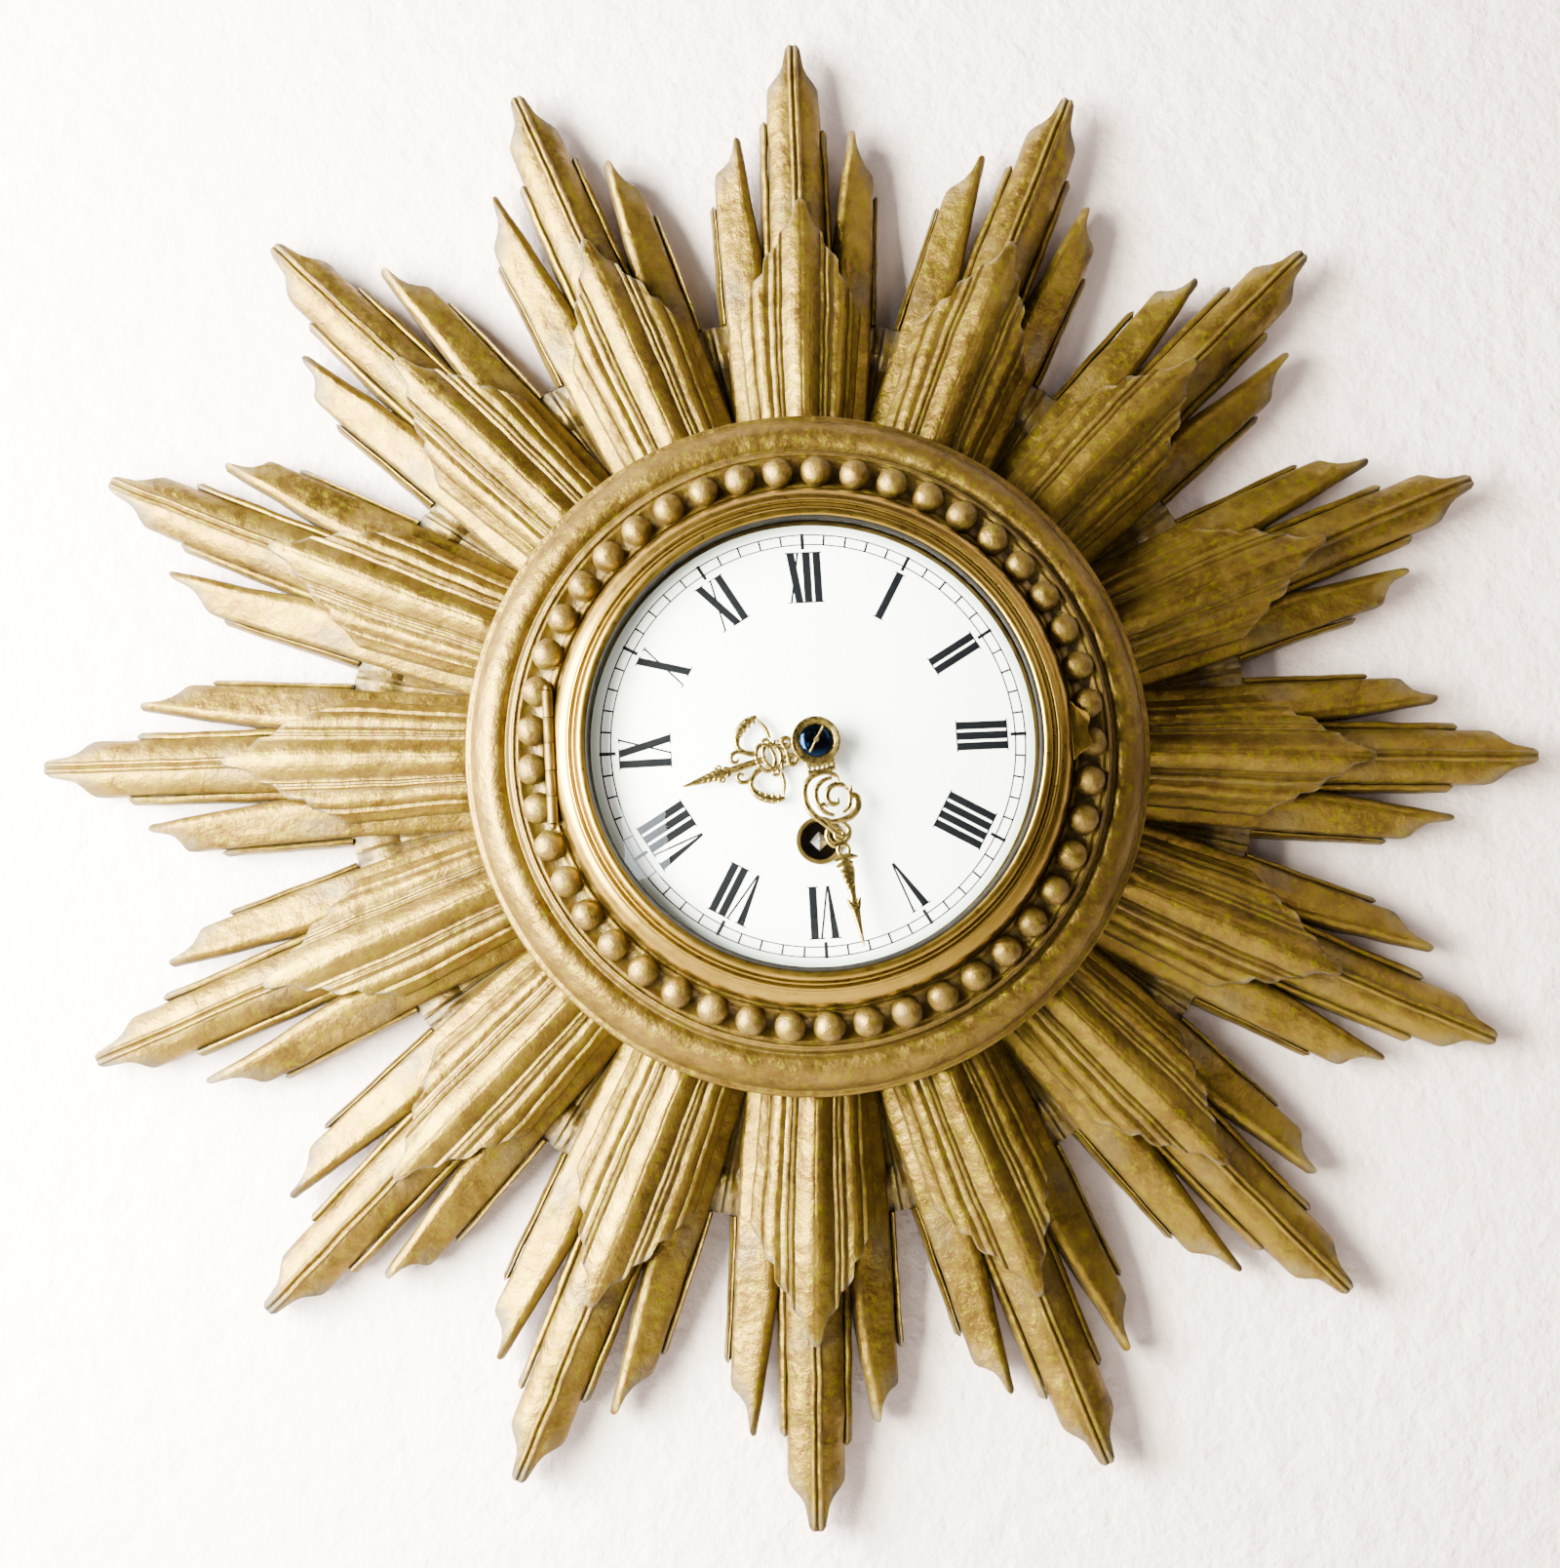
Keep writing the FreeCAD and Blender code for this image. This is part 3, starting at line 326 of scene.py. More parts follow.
class Sheet:
    """Vertices, faces and per-vertex wear, grime and painted shade that are gathered and then made into one
    piece.
    """

    def __init__(self):
        self.points = []
        self.faces = []
        self.worn = []
        self.hollow = []

    def point(self, x, y, z, worn=0.0, hollow=0.0):
        self.points.append((x, y, z))
        self.worn.append(worn)
        self.hollow.append(hollow)
        return len(self.points) - 1

    def slab(self, columns, floor):
        """A closed relief: columns of (x, y, top, worn, hollow), all the same length, over a flat back."""
        count = len(columns[0])
        top = [[self.point(*p) for p in column] for column in columns]
        # the back points get hollow 0.6, so each plank's sides darken towards the wall as painted shade and
        # grime
        low = [[self.point(p[0], p[1], floor, 0.0, 0.6) for p in column] for column in columns]
        for i in range(len(columns) - 1):
            for j in range(count - 1):
                self.faces.append((top[i][j], top[i + 1][j], top[i + 1][j + 1], top[i][j + 1]))
                self.faces.append((low[i][j], low[i][j + 1], low[i + 1][j + 1], low[i + 1][j]))
            self.faces.append((low[i][0], low[i + 1][0], top[i + 1][0], top[i][0]))
            self.faces.append((top[i][-1], top[i + 1][-1], low[i + 1][-1], low[i][-1]))
        for j in range(count - 1):
            self.faces.append((top[0][j], top[0][j + 1], low[0][j + 1], low[0][j]))
            self.faces.append((low[-1][j], low[-1][j + 1], top[-1][j + 1], top[-1][j]))

    def turned(self, clockwise, lengthen=lambda x, y, z: (x, y, z)):
        a = math.radians(-clockwise)
        c, s = math.cos(a), math.sin(a)
        for i, p in enumerate(self.points):
            x, y, z = lengthen(*p)
            self.points[i] = (x * c - y * s, x * s + y * c, z)

    def piece(self, name, body, material, replaces=(), sharp=40):
        mesh = bpy.data.meshes.new(name)
        mesh.from_pydata([row(*p) for p in self.points], [], self.faces)
        for label, values in (("worn", self.worn), ("hollow", self.hollow)):
            layer = mesh.attributes.new(label, "FLOAT", "POINT")
            layer.data.foreach_set("value", values)
        mesh.materials.append(material)
        mesh.polygons.foreach_set("use_smooth", [True] * len(mesh.polygons))
        mesh.set_sharp_from_angle(angle=math.radians(sharp))
        mesh.update()
        obj = bpy.data.objects.new(name, mesh)
        bpy.context.scene.collection.objects.link(obj)
        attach(obj, body)
        if replaces:
            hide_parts(*replaces)
        return obj


def lathe(sheet, profile, steps, wear_and_shade=None):
    """Turn a closed (radius, z) outline about the dial's axis; the last argument gives (worn, hollow) at a
    point, hollow being grime and painted shade.
    """
    rings = []
    for i in range(steps):
        a = 360 * i / steps
        rings.append([sheet.point(*polar(r, a), z, *(wear_and_shade(r, z) if wear_and_shade else ())) for r, z in profile])
    n = len(profile)
    for i in range(steps):
        here, after = rings[i], rings[(i + 1) % steps]
        for j in range(n):
            sheet.faces.append((here[j], here[(j + 1) % n], after[(j + 1) % n], after[j]))


def smooth_line(points, steps):
    """A smooth curve through the points, with this many steps between each two."""
    out = []
    for i in range(len(points) - 1):
        p0 = points[max(i - 1, 0)]
        p1, p2 = points[i], points[i + 1]
        p3 = points[min(i + 2, len(points) - 1)]
        for k in range(steps):
            t = k / steps
            out.append(tuple(0.5 * (2 * b + (c - a) * t + (2 * a - 5 * b + 4 * c - d) * t * t
                                    + (3 * b - a - 3 * c + d) * t ** 3)
                             for a, b, c, d in zip(p0, p1, p2, p3)))
    out.append(tuple(points[-1]))
    return out


# ---------------------------------------------------------------- carved rays

# Each carved plank has up to three tables. END: distance from the plank's middle line, and how far out
# from the dial's axis it reaches there. DROP: that distance, and how far the surface lies below the
# crest. CREST: distance out from the axis, and the height of the crest. The flank and its strip run
# from 0 at their inner edge to 1 at their outer edge.
LEAF_END = [
    (0, 174.2), (0.8, 173.9), (1.5, 173.1), (1.9, 171.6), (2.3, 169.4), (3.1, 166.8), (4.4, 164.9),
    (5.8, 163.8), (6.6, 162.8), (6.9, 160.2), (7.6, 158.4), (9.2, 156.8), (10.6, 155.6), (11.3, 154.2),
    (11.6, 149.6), (12.6, 148.6), (14.2, 147.5), (14.9, 144.8), (16.2, 141.8), (17.8, 139.6), (18.6, 137.6)]
LEAF_DROP = [
    (0, 0.15), (0.5, 0.0), (1.2, 0.12), (2.2, 0.5), (3.4, 1.25), (4.6, 2.3), (5.4, 3.15), (5.8, 3.5),
    (6.3, 3.2), (6.8, 3.15), (7.2, 3.7), (7.7, 3.75), (8.1, 3.4), (8.6, 3.45), (9.1, 4.1), (9.8, 4.5),
    (10.6, 4.3), (11.6, 4.2), (12.8, 4.6), (14.0, 5.6), (14.6, 6.4), (15.2, 6.3), (15.8, 6.4),
    (16.6, 7.3), (18.6, 9.0)]
LEAF_CREST = [(92, 32.2), (103, 31.8), (150, 25.6), (165, 22.3), (174, 19.6)]
LEAF_NARROWING = [(92, 0.83), (103, 0.85), (137, 1.0), (175, 1.0)]
LEAF_FLATTENING = [(92, 1.1), (140, 1.0), (174, 0.8)]
LONG_END = [
    (0, 229.0), (1.5, 228.9), (2.2, 228.4), (2.6, 227.2), (2.8, 225), (3.2, 222.6), (3.9, 220.4),
    (5.0, 218.6), (6.4, 217.1), (7.5, 216), (8.3, 214.4), (8.4, 212.6)]
LONG_DROP = [
    (0, 0.75), (0.3, 0.5), (0.7, 0.05), (1.1, 0.0), (1.5, 0.35), (1.8, 0.8), (2.4, 0.9), (4.5, 1.6),
    (6.6, 3.0), (7.8, 4.3), (8.4, 5.2)]
LONG_CREST = [(92, 25), (140, 20.6), (180, 15.8), (215, 11.6), (229, 9.6)]
LEDGE_DROP = [(8.3, 6.8), (8.45, 6.0), (8.8, 5.3), (9.4, 5.1), (10.1, 5.4), (10.6, 6.1), (10.8, 7)]
FLANK_END = [
    (0, 199), (0.08, 199.6), (0.19, 199.5), (0.26, 198.7), (0.31, 196.6), (0.39, 193.8),
    (0.53, 191), (0.72, 188.8), (0.9, 187.3), (0.97, 186.2), (1, 184)]
FLANK_DROP = [
    (0, 2.2), (0.06, 1.0), (0.16, 0.2), (0.24, 0.0), (0.34, 0.25), (0.5, 1.0), (0.8, 2.5), (0.93, 3.4),
    (1, 4.4)]
FLANK_CREST = [(92, 21), (140, 17.6), (160, 14.6), (185, 11.0), (200, 9.2)]
STRIP_DROP = [(0, 6.4), (0.15, 5.6), (0.35, 5.1), (0.5, 5.3), (0.7, 5.05), (0.88, 5.7), (1, 6.4)]
WEB_TOP = [(90, 16.5), (101, 16.2), (122, 12.2), (125, 11.6), (126.4, 13.4), (131, 13.3), (138.5, 11.2)]

# how far from the axis each plank starts, under the leaf or under the ring's lip
WEB_START = 92.5
FLANK_START = 99
STRIP_START = 136
LONG_START = 140

# planks that overlap stop at slightly different depths, so that no two back faces lie in one plane
BACK = 4.0
LEAF_BACK = 9.0


def spread(points, extra):
    """Sorted positions of a table's points, with extra ones between them."""
    xs = [p[0] for p in points]
    out = set(xs)
    for a, b in zip(xs, xs[1:]):
        parts = max(1, round((b - a) / extra))
        out.update(a + (b - a) * k / parts for k in range(parts))
    return sorted(out)


def both_sides(half):
    """Positions on one side of a middle line, and the same on the other."""
    return [-h for h in reversed(half) if h > 0] + list(half)


def relief(sheet, across, start, end, place, height, floor, rows, key, rubbed=9):
    """One carved plank: a column for each position across it, rubbed bare over the last millimetres.

    end gives how far out a column reaches, place where a point lies seen from the front, and height
    how high it is and how much grime and painted shade it holds. key gives each plank its own unevenness.
    """
    columns = []
    low, high = across[0], across[-1]
    for u in across:
        reach = end(u)
        column = []
        stations = [start + (reach - 0.5 - start) * (j / (rows - 1)) ** 0.92 for j in range(rows)] + [reach]
        for j, along in enumerate(stations):
            x, y = place(u, along)
            z, hollow = height(u, along)
            edge = j == rows or u in (low, high)
            near_tip = max(0.0, 1 - (reach - along) / rubbed)
            worn = max(0.8 if edge else 0.0, near_tip)
            shake = wobble(x + key * 37, y, 3.1 * key, 16)
            z += 0.5 * shake - (0.45 if edge else 0.0)
            side = 0.3 * wobble(x, y + key * 53, key, 9) + 0.5 * wobble(x, y + key * 71, key, 45)
            column.append((x + side, y + side, z, worn, hollow))
        columns.append(column)
    sheet.slab(columns, floor)


def hollow_of(table_points, u, scale=1.0):
    """How far a point lies in a groove: deeper than the straight line between its neighbours."""
    here = table(table_points, u)
    around = (table(table_points, max(0, u - 0.7 * scale)) + table(table_points, u + 0.7 * scale)) / 2
    return max(0.0, min(0.5, (here - around) * 1.6))


def straight(u, along):
    """Where a point lies on a plank with parallel sides."""
    return u, along


def flank_edge(along):
    """How far a flank's outer edge is from the block's middle line."""
    return 24.3 + (along - 169.5) * 0.06


def long_ray(sheet, key):
    """The middle ray: a narrow fillet along its crest and hollow sides."""
    def height(u, along):
        hollow = hollow_of(LONG_DROP, abs(u), 0.5)
        # painted shade where the leaf's end lies over the ray, on top of grime in its grooves
        under_leaf = max(0.0, 1 - abs(along - 172) / 9) * (1 - abs(u) / 16)
        return table(LONG_CREST, along) - table(LONG_DROP, abs(u)), max(hollow, 0.5 * under_leaf)

    across = sorted(set(both_sides(spread(LONG_DROP, 0.9)) + [-8.15, 8.15]))
    relief(sheet, across, LONG_START, lambda u: table(LONG_END, abs(u)), straight, height, BACK, 34, key)


def ledge(sheet, key, side, reach):
    """A low moulding along one side of the long ray."""
    def height(u, along):
        # painted shade and grime along the inner side, next to the long ray
        return table(LONG_CREST, along) - table(LEDGE_DROP, abs(u)), 0.9 if abs(u) < 8.5 else 0.0

    across = sorted(side * u for u, _ in LEDGE_DROP)
    relief(sheet, across, LONG_START, lambda u: reach - abs(abs(u) - 9.2), straight, height, BACK + 0.05, 20,
           key + 0.3)


def flank(sheet, key, side, shorter):
    """The shorter ray on one side of the long one."""
    def place(v, along):
        inner = max(10.4, 12.4 + (along - 169.5) * 0.16)
        return side * (inner + v * (flank_edge(along) - inner)), along

    def height(v, along):
        # painted shade on the outer half of the flank around 146 mm out, beside the web's end, on top of
        # grime in its grooves
        hollow = max(0.0, 1 - abs(along - 146) / 10) * 0.6 if v > 0.5 else 0.0
        return table(FLANK_CREST, along) - table(FLANK_DROP, v), max(hollow, hollow_of(FLANK_DROP, v, 0.1))

    across = spread(FLANK_DROP, 0.09) + [v for v, _ in FLANK_END] + [0.985]
    across = sorted(set(across), reverse=side < 0)
    relief(sheet, across, FLANK_START, lambda v: table(FLANK_END, v) + shorter * (1 - v), place, height,
           BACK + 0.1, 30, key + side * 0.4)


def flank_strip(sheet, key, side, shorter):
    """A low double reed along the outer side of a flank."""
    def place(v, along):
        return side * (flank_edge(along) - 0.1 + v * 2.1), along

    def height(v, along):
        # painted shade and grime along the inner edge next to the flank, and in the middle groove
        hollow = 0.6 * (v < 0.2) + 0.4 * (abs(v - 0.5) < 0.05)
        return table(FLANK_CREST, along) - table(STRIP_DROP, v), hollow

    across = sorted([0, 0.07, 0.15, 0.25, 0.35, 0.5, 0.6, 0.7, 0.8, 0.88, 0.95, 1], reverse=side < 0)
    relief(sheet, across, STRIP_START, lambda v: 178.5 - 3 * abs(v - 0.45) + shorter, place, height,
           BACK + 0.15, 16, key + 0.7)


def web(sheet, key, back):
    """The reeded web that fills the angle up to the next block, with a rough raised end."""
    def place(angle, along):
        return polar(along, angle)

    def height(angle, along):
        reeds = 0.45 * math.cos(angle * 1.3 * math.pi) * (1 if along < 125 else 0.6)
        rough = 0.8 * wobble(along * 1.4, angle * 7, key, 5) if 123 < along < 139 else 0.0
        # painted shade and grime: some over the whole web, more in the groove at 125 mm and in the reeds'
        # troughs
        hollow = 0.2 + 0.5 * max(0.0, 1 - abs(along - 125) / 3) + 0.8 * max(0.0, -reeds)
        return table(WEB_TOP, along) + reeds + rough, min(1.0, hollow)

    half = 180 / BLOCKS
    across = both_sides([i * half / 26 for i in range(27)])
    relief(sheet, across, WEB_START, lambda angle: 138 + 5.5 * max(0.0, 1 - abs(angle) / (0.86 * half)),
           place, height, back, 26, key + 0.9)


def leaf(sheet, key, lean):
    """The stepped leaf that lies over the roots of the rays and runs under the ring's lip."""
    def place(u, along):
        return u * table(LEAF_NARROWING, along) + lean * (along - 100) / 74 * 0.6, along

    def height(u, along):
        z = table(LEAF_CREST, along) - table(LEAF_DROP, abs(u)) * table(LEAF_FLATTENING, along)
        # the leaf's grooves get painted shade and grime
        return min(z, LIP_Z - 0.1) if along < LIP_R + 0.6 else z, hollow_of(LEAF_DROP, abs(u), 0.7)

    across = both_sides(spread(LEAF_DROP, 0.8))
    across = sorted(set(across + [-18.4, 18.4] + [side * u for u, _ in LEAF_END for side in (-1, 1)]))
    relief(sheet, across, WEB_START, lambda u: table(LEAF_END, abs(u)), place, height, LEAF_BACK, 40,
           key + 0.2, 2.5)


def ray_block(index):
    """A long ray, two flank rays, the web between blocks and the leaf that lies over them."""
    sheet = Sheet()
    key = index + 1
    long_ray(sheet, key)
    for side in (-1, 1):
        shorter = 2.2 * math.sin(3.1 * index + side)
        cut_back = (side > 0) == (index % 2 == 0)
        ledge(sheet, key, side, 204.5 - 2.8 * cut_back)
        flank(sheet, key, side, shorter)
        flank_strip(sheet, key, side, shorter)
    web(sheet, key, BACK + 0.3 + 0.05 * (index % 2))
    leaf(sheet, key, 0.9 * math.sin(1.7 * index + 1.0))
    longer = 0.99 + 0.009 * math.sin(2.3 * index + 0.4)

    def stretch(x, y, z):
        return x, (y if y < 150 else 150 + (y - 150) * longer), z

    sheet.turned(index * 360 / BLOCKS + RAY_LEAD, stretch)
    name = "ray_block_%02d" % (index + 1)
    sheet.piece("carved_" + name, "case", gilt_rays, [name], sharp=34)


for i in range(BLOCKS):
    ray_block(i)


# ---------------------------------------------------------------- moulded ring and beads

def ring_outline():
    """The ring's moulded face, from the rebate outwards and down to the lip, then its hidden back."""
    face = [
        (76.3, 45.0), (76.3, 45.6), (76.8, 45.9), (77.6, 45.5), (78.8, 44.3), (81.0, 43.7), (83.2, 44.2),
        (84.6, 45.0), (85.2, 45.1), (85.6, 44.7), (86.0, 44.9), (86.4, 45.4), (86.8, 45.2), (87.2, 44.7),
        (87.6, 44.5), (88.0, 43.6), (88.4, 42.4), (88.9, 41.9), (89.5, 42.3), (90.5, 42.9), (92.0, 43.1),
        (93.6, 42.8), (95.2, 41.9), (96.8, 40.4), (98.0, 38.7), (98.8, 37.0), (99.2, 35.9), (99.8, 35.6),
        (100.4, 35.4), (100.9, 34.8), (LIP_R, 33.8)]
    hidden = [(LIP_R, LIP_Z), (92.0, LIP_Z), (92.0, 4.0), (66.5, 4.0), (66.5, 45.0)]
    return smooth_line(face, 3) + hidden


BEADS = 45
BEAD_CIRCLE_R = 81.0
BEAD_R = 4.55


def in_hinge_recess(x, y):
    """Where the ring is cut down behind the hinge."""
    return x < -70 and abs(y) < 19.3 and math.hypot(x, y) < 77.9


def moulding():
    """The turned ring, with grime and painted shade in its grooves and round the beads."""
    sheet = Sheet()

    def wear_and_shade(r, z):
        groove = max(0.0, 1 - abs(r - 88.8) / 1.0) if z > 40 else 0.0
        groove = max(groove, max(0.0, 1 - abs(r - 85.6) / 0.4), max(0.0, 1 - abs(r - 87.5) / 0.4))
        beads = max(0.0, 1 - abs(r - BEAD_CIRCLE_R) / 4.5) if z > 40 else 0.0
        # grooves and the hollow round the beads get painted shade and grime; a little wear on the fillet at
        # 86.5 mm
        return 0.25 * max(0.0, 1 - abs(r - 86.5) / 0.5), min(1.0, 0.45 * groove + 0.7 * beads)

    lathe(sheet, ring_outline(), 320, wear_and_shade)
    for i, (x, y, z) in enumerate(sheet.points):
        if z > 40:
            z += 0.16 * wobble(x, y, 0, 14)
            if in_hinge_recess(x, y):
                z = min(z, 45.0)
        sheet.points[i] = (x, y, z)
    sheet.piece("turned_moulding", "case", gilt_ring, ["moulding_ring"], sharp=50)


def bead_string():
    """Carved half-round beads in the ring's hollow, each a little different."""
    sheet = Sheet()
    rows = 9
    turns = 22
    for i in range(BEADS):
        cx, cy = polar(BEAD_CIRCLE_R, 4 + i * 360 / BEADS)
        stretch = 1 + 0.05 * wobble(i * 3.7, 0, 0, 1.3)
        rings = []
        for j in range(rows + 1):
            up = math.radians(-38 + 128 * j / rows)
            rings.append([])
            for k in range(turns if j < rows else 1):
                a = 2 * math.pi * k / turns
                lump = 1 + 0.07 * wobble(cx + 4 * math.cos(a), cy + 4 * math.sin(a), j, 3)
                r = BEAD_R * stretch * math.cos(up) * lump
                z = 46.2 + 0.92 * BEAD_R * math.sin(up)
                # the lower rows of each bead get painted shade and grime at its foot
                rings[-1].append(sheet.point(cx + r * math.cos(a), cy + r * math.sin(a), z, 0.2,
                                             max(0.0, 0.7 - 0.2 * j)))
        for j in range(rows - 1):
            for k in range(turns):
                n = (k + 1) % turns
                sheet.faces.append((rings[j][k], rings[j][n], rings[j + 1][n], rings[j + 1][k]))
        for k in range(turns):
            sheet.faces.append((rings[rows - 1][k], rings[rows - 1][(k + 1) % turns], rings[rows][0]))
        sheet.faces.append(tuple(reversed(rings[0])))
    sheet.piece("carved_beads", "case", gilt_ring, ["bead_row"], sharp=60)


moulding()
bead_string()


# ---------------------------------------------------------------- bezel, glass and dial

def tube(sheet, x, z, radius, y0, y1, sides=20):
    """A round rod along y with closed ends."""
    rings = []
    for y, r in ((y0, radius - 0.15), (y0 + 0.15, radius), (y1 - 0.15, radius), (y1, radius - 0.15)):
        turns = [2 * math.pi * k / sides for k in range(sides)]
        rings.append([sheet.point(x + r * math.cos(a), y, z + r * math.sin(a)) for a in turns])
    for a, b in zip(rings, rings[1:]):
        for k in range(sides):
            n = (k + 1) % sides
            sheet.faces.append((a[k], b[k], b[n], a[n]))
    sheet.faces.append(tuple(rings[0]))
    sheet.faces.append(tuple(reversed(rings[-1])))


def plate(sheet, outline, z0, z1):
    """A flat plate with softened front edges; the outline runs anticlockwise."""
    cx = sum(p[0] for p in outline) / len(outline)
    cy = sum(p[1] for p in outline) / len(outline)
    layers = []
    for z, shrink in ((z0, 1.0), (z1 - 0.2, 1.0), (z1, 0.93)):
        layers.append([sheet.point(cx + (x - cx) * shrink, cy + (y - cy) * shrink, z) for x, y in outline])
    n = len(outline)
    for a, b in zip(layers, layers[1:]):
        for k in range(n):
            j = (k + 1) % n
            sheet.faces.append((a[k], a[j], b[j], b[k]))
    sheet.faces.append(tuple(reversed(layers[0])))
    sheet.faces.append(tuple(layers[-1]))


def bezel_rim():
    """The spun brass rim with its lifting tab at the right."""
    sheet = Sheet()
    outside = [
        (75.5, 46.5), (75.5, 48.3), (75.2, 50.0), (74.3, 51.9), (72.8, 53.5), (71.2, 54.5), (70.95, 54.9),
        (70.8, 55.5), (70.3, 55.9), (69.8, 55.7), (69.6, 55.4), (69.35, 56.0), (68.95, 56.5), (68.5, 56.4),
        (68.3, 56.2), (68.1, 57.0), (67.6, 57.7), (66.8, 58.0), (66.0, 57.9), (65.5, 57.5)]
    inside = [
        (65.4, 56.6), (67.0, 56.6), (67.0, 53.2), (69.4, 53.2), (71.4, 52.4), (73.0, 50.6), (73.9, 46.5)]
    lathe(sheet, smooth_line(outside, 4) + inside, 320)
    sheet.points = [(max(x, -73.8) if abs(y) < 20 else x, y, z) for x, y, z in sheet.points]
    tab = [(75.3, 8.2), (76.2, 7.0), (77.6, 6.1), (79.3, 5.2), (80.2, 3.9), (80.1, 2.4), (79.4, 1.1)]
    lower = [(74.4, -8.6)] + [(x, -y) for x, y in tab]
    upper = [(79.2, 0.0)] + tab[::-1] + [(74.4, 8.6)]
    plate(sheet, lower + upper, 51.1, 51.8)
    sheet.piece("spun_bezel", "bezel_door", bezel_brass, ["bezel_ring"], sharp=45)


def bezel_knuckles():
    """The two hinge knuckles of the bezel, each with its leaf."""
    sheet = Sheet()
    for low in (-11.4, 3.8):
        tube(sheet, HINGE_X, HINGE_Z, 1.6, low + 0.1, low + 7.5)
        x0 = HINGE_X + 0.2
        x1 = HINGE_X + 2.0
        y0 = low + 0.2
        y1 = low + 7.4
        plate(sheet, [(x0, y0), (x1, y0), (x1, y1), (x0, y1)], 49.2, 50.4)
    sheet.piece("bezel_knuckles", "bezel_door", dull_brass_and_shade, sharp=45)


def glass_putty_and_gap_shade():
    """The dark line of putty between the glass and the rim, also standing in as painted shadow in the gap
    there.
    """
    sheet = Sheet()
    section = [
        (65.42, 56.62), (65.42, 57.5), (65.2, 57.6), (64.6, 57.5), (64.25, 57.2), (64.2, 56.9),
        (64.9, 56.66)]
    lathe(sheet, section, 240)
    sheet.piece("glass_putty_and_gap_shade", "bezel_door", black_putty_and_gap_shade, sharp=60)


def dome_z(x, y):
    """Front of the domed dial."""
    rise = DIAL_CENTRE_Z - DIAL_RIM_Z
    ball = (DIAL_R ** 2 + rise ** 2) / (2 * rise)
    return DIAL_CENTRE_Z - ball + math.sqrt(ball ** 2 - x * x - y * y)


def stroke(sheet, corners, thick=0.05):
    """A printed four-sided stroke that lies on the dome, cut along its length to follow it."""
    (ax, ay), (bx, by), (cx, cy), (dx, dy) = corners
    cuts = 5
    top, low = [], []
    for i in range(cuts):
        t = i / (cuts - 1)
        left = (ax + (dx - ax) * t, ay + (dy - ay) * t)
        right = (bx + (cx - bx) * t, by + (cy - by) * t)
        top.append([sheet.point(x, y, dome_z(x, y) + thick) for x, y in (left, right)])
        low.append([sheet.point(x, y, dome_z(x, y) - thick) for x, y in (left, right)])
    for i in range(cuts - 1):
        (a, b), (d, c) = top[i], top[i + 1]
        (e, f), (h, g) = low[i], low[i + 1]
        sheet.faces += [(a, b, c, d), (e, h, g, f), (a, d, h, e), (b, f, g, c)]
    for (a, b), (e, f), turn in ((top[0], low[0], 1), (top[-1], low[-1], -1)):
        sheet.faces.append((a, e, f, b)[::turn])


NUMERALS = ("XII", "I", "II", "III", "IIII", "V", "VI", "VII", "VIII", "IX", "X", "XI")
NUMERAL_FOOT = 41.0
NUMERAL_HEAD = 56.1
BAR = 2.25
HAIR = 0.58
GAP = 0.75
SERIF = 0.026
RAILS = (58.3, 61.2)
RAIL_HALF = 0.2


def numeral_strokes(text):
    """One numeral's strokes as ((x0, x1) at the foot, (x0, x1) at the head), its serifs and its width."""
    strokes = []
    serifs = []
    x = 0.0
    slant = 2.1 if text == "XII" else 4.0
    for letter in text:
        if letter == "I":
            strokes.append(((x, x + BAR), (x, x + BAR)))
            serifs += [(x - 0.5, x + BAR + 0.5, 0), (x - 0.5, x + BAR + 0.5, 1)]
            x += BAR + GAP
        elif letter == "V":
            strokes.append(((x + 2.3, x + 2.9), (x, x + BAR)))
            strokes.append(((x + 2.6, x + 2.6 + HAIR), (x + 4.9, x + 4.9 + HAIR)))
            serifs += [(x - 0.6, x + BAR + 0.6, 1), (x + 4.2, x + 5.8, 1)]
            x += 5.2 + GAP
        else:
            strokes.append(((x + slant, x + slant + BAR), (x, x + BAR)))
            strokes.append(((x + 0.5, x + 0.5 + HAIR), (x + slant + 1, x + slant + 1 + HAIR)))
            serifs += [(x - 0.5, x + BAR + 0.5, 1), (x + slant + 0.3, x + slant + 1.8, 1)]
            serifs += [(x - 0.2, x + 1.2, 0), (x + slant - 0.5, x + slant + BAR + 0.5, 0)]
            x += slant + 1.8 + GAP
    return strokes, serifs, x - GAP


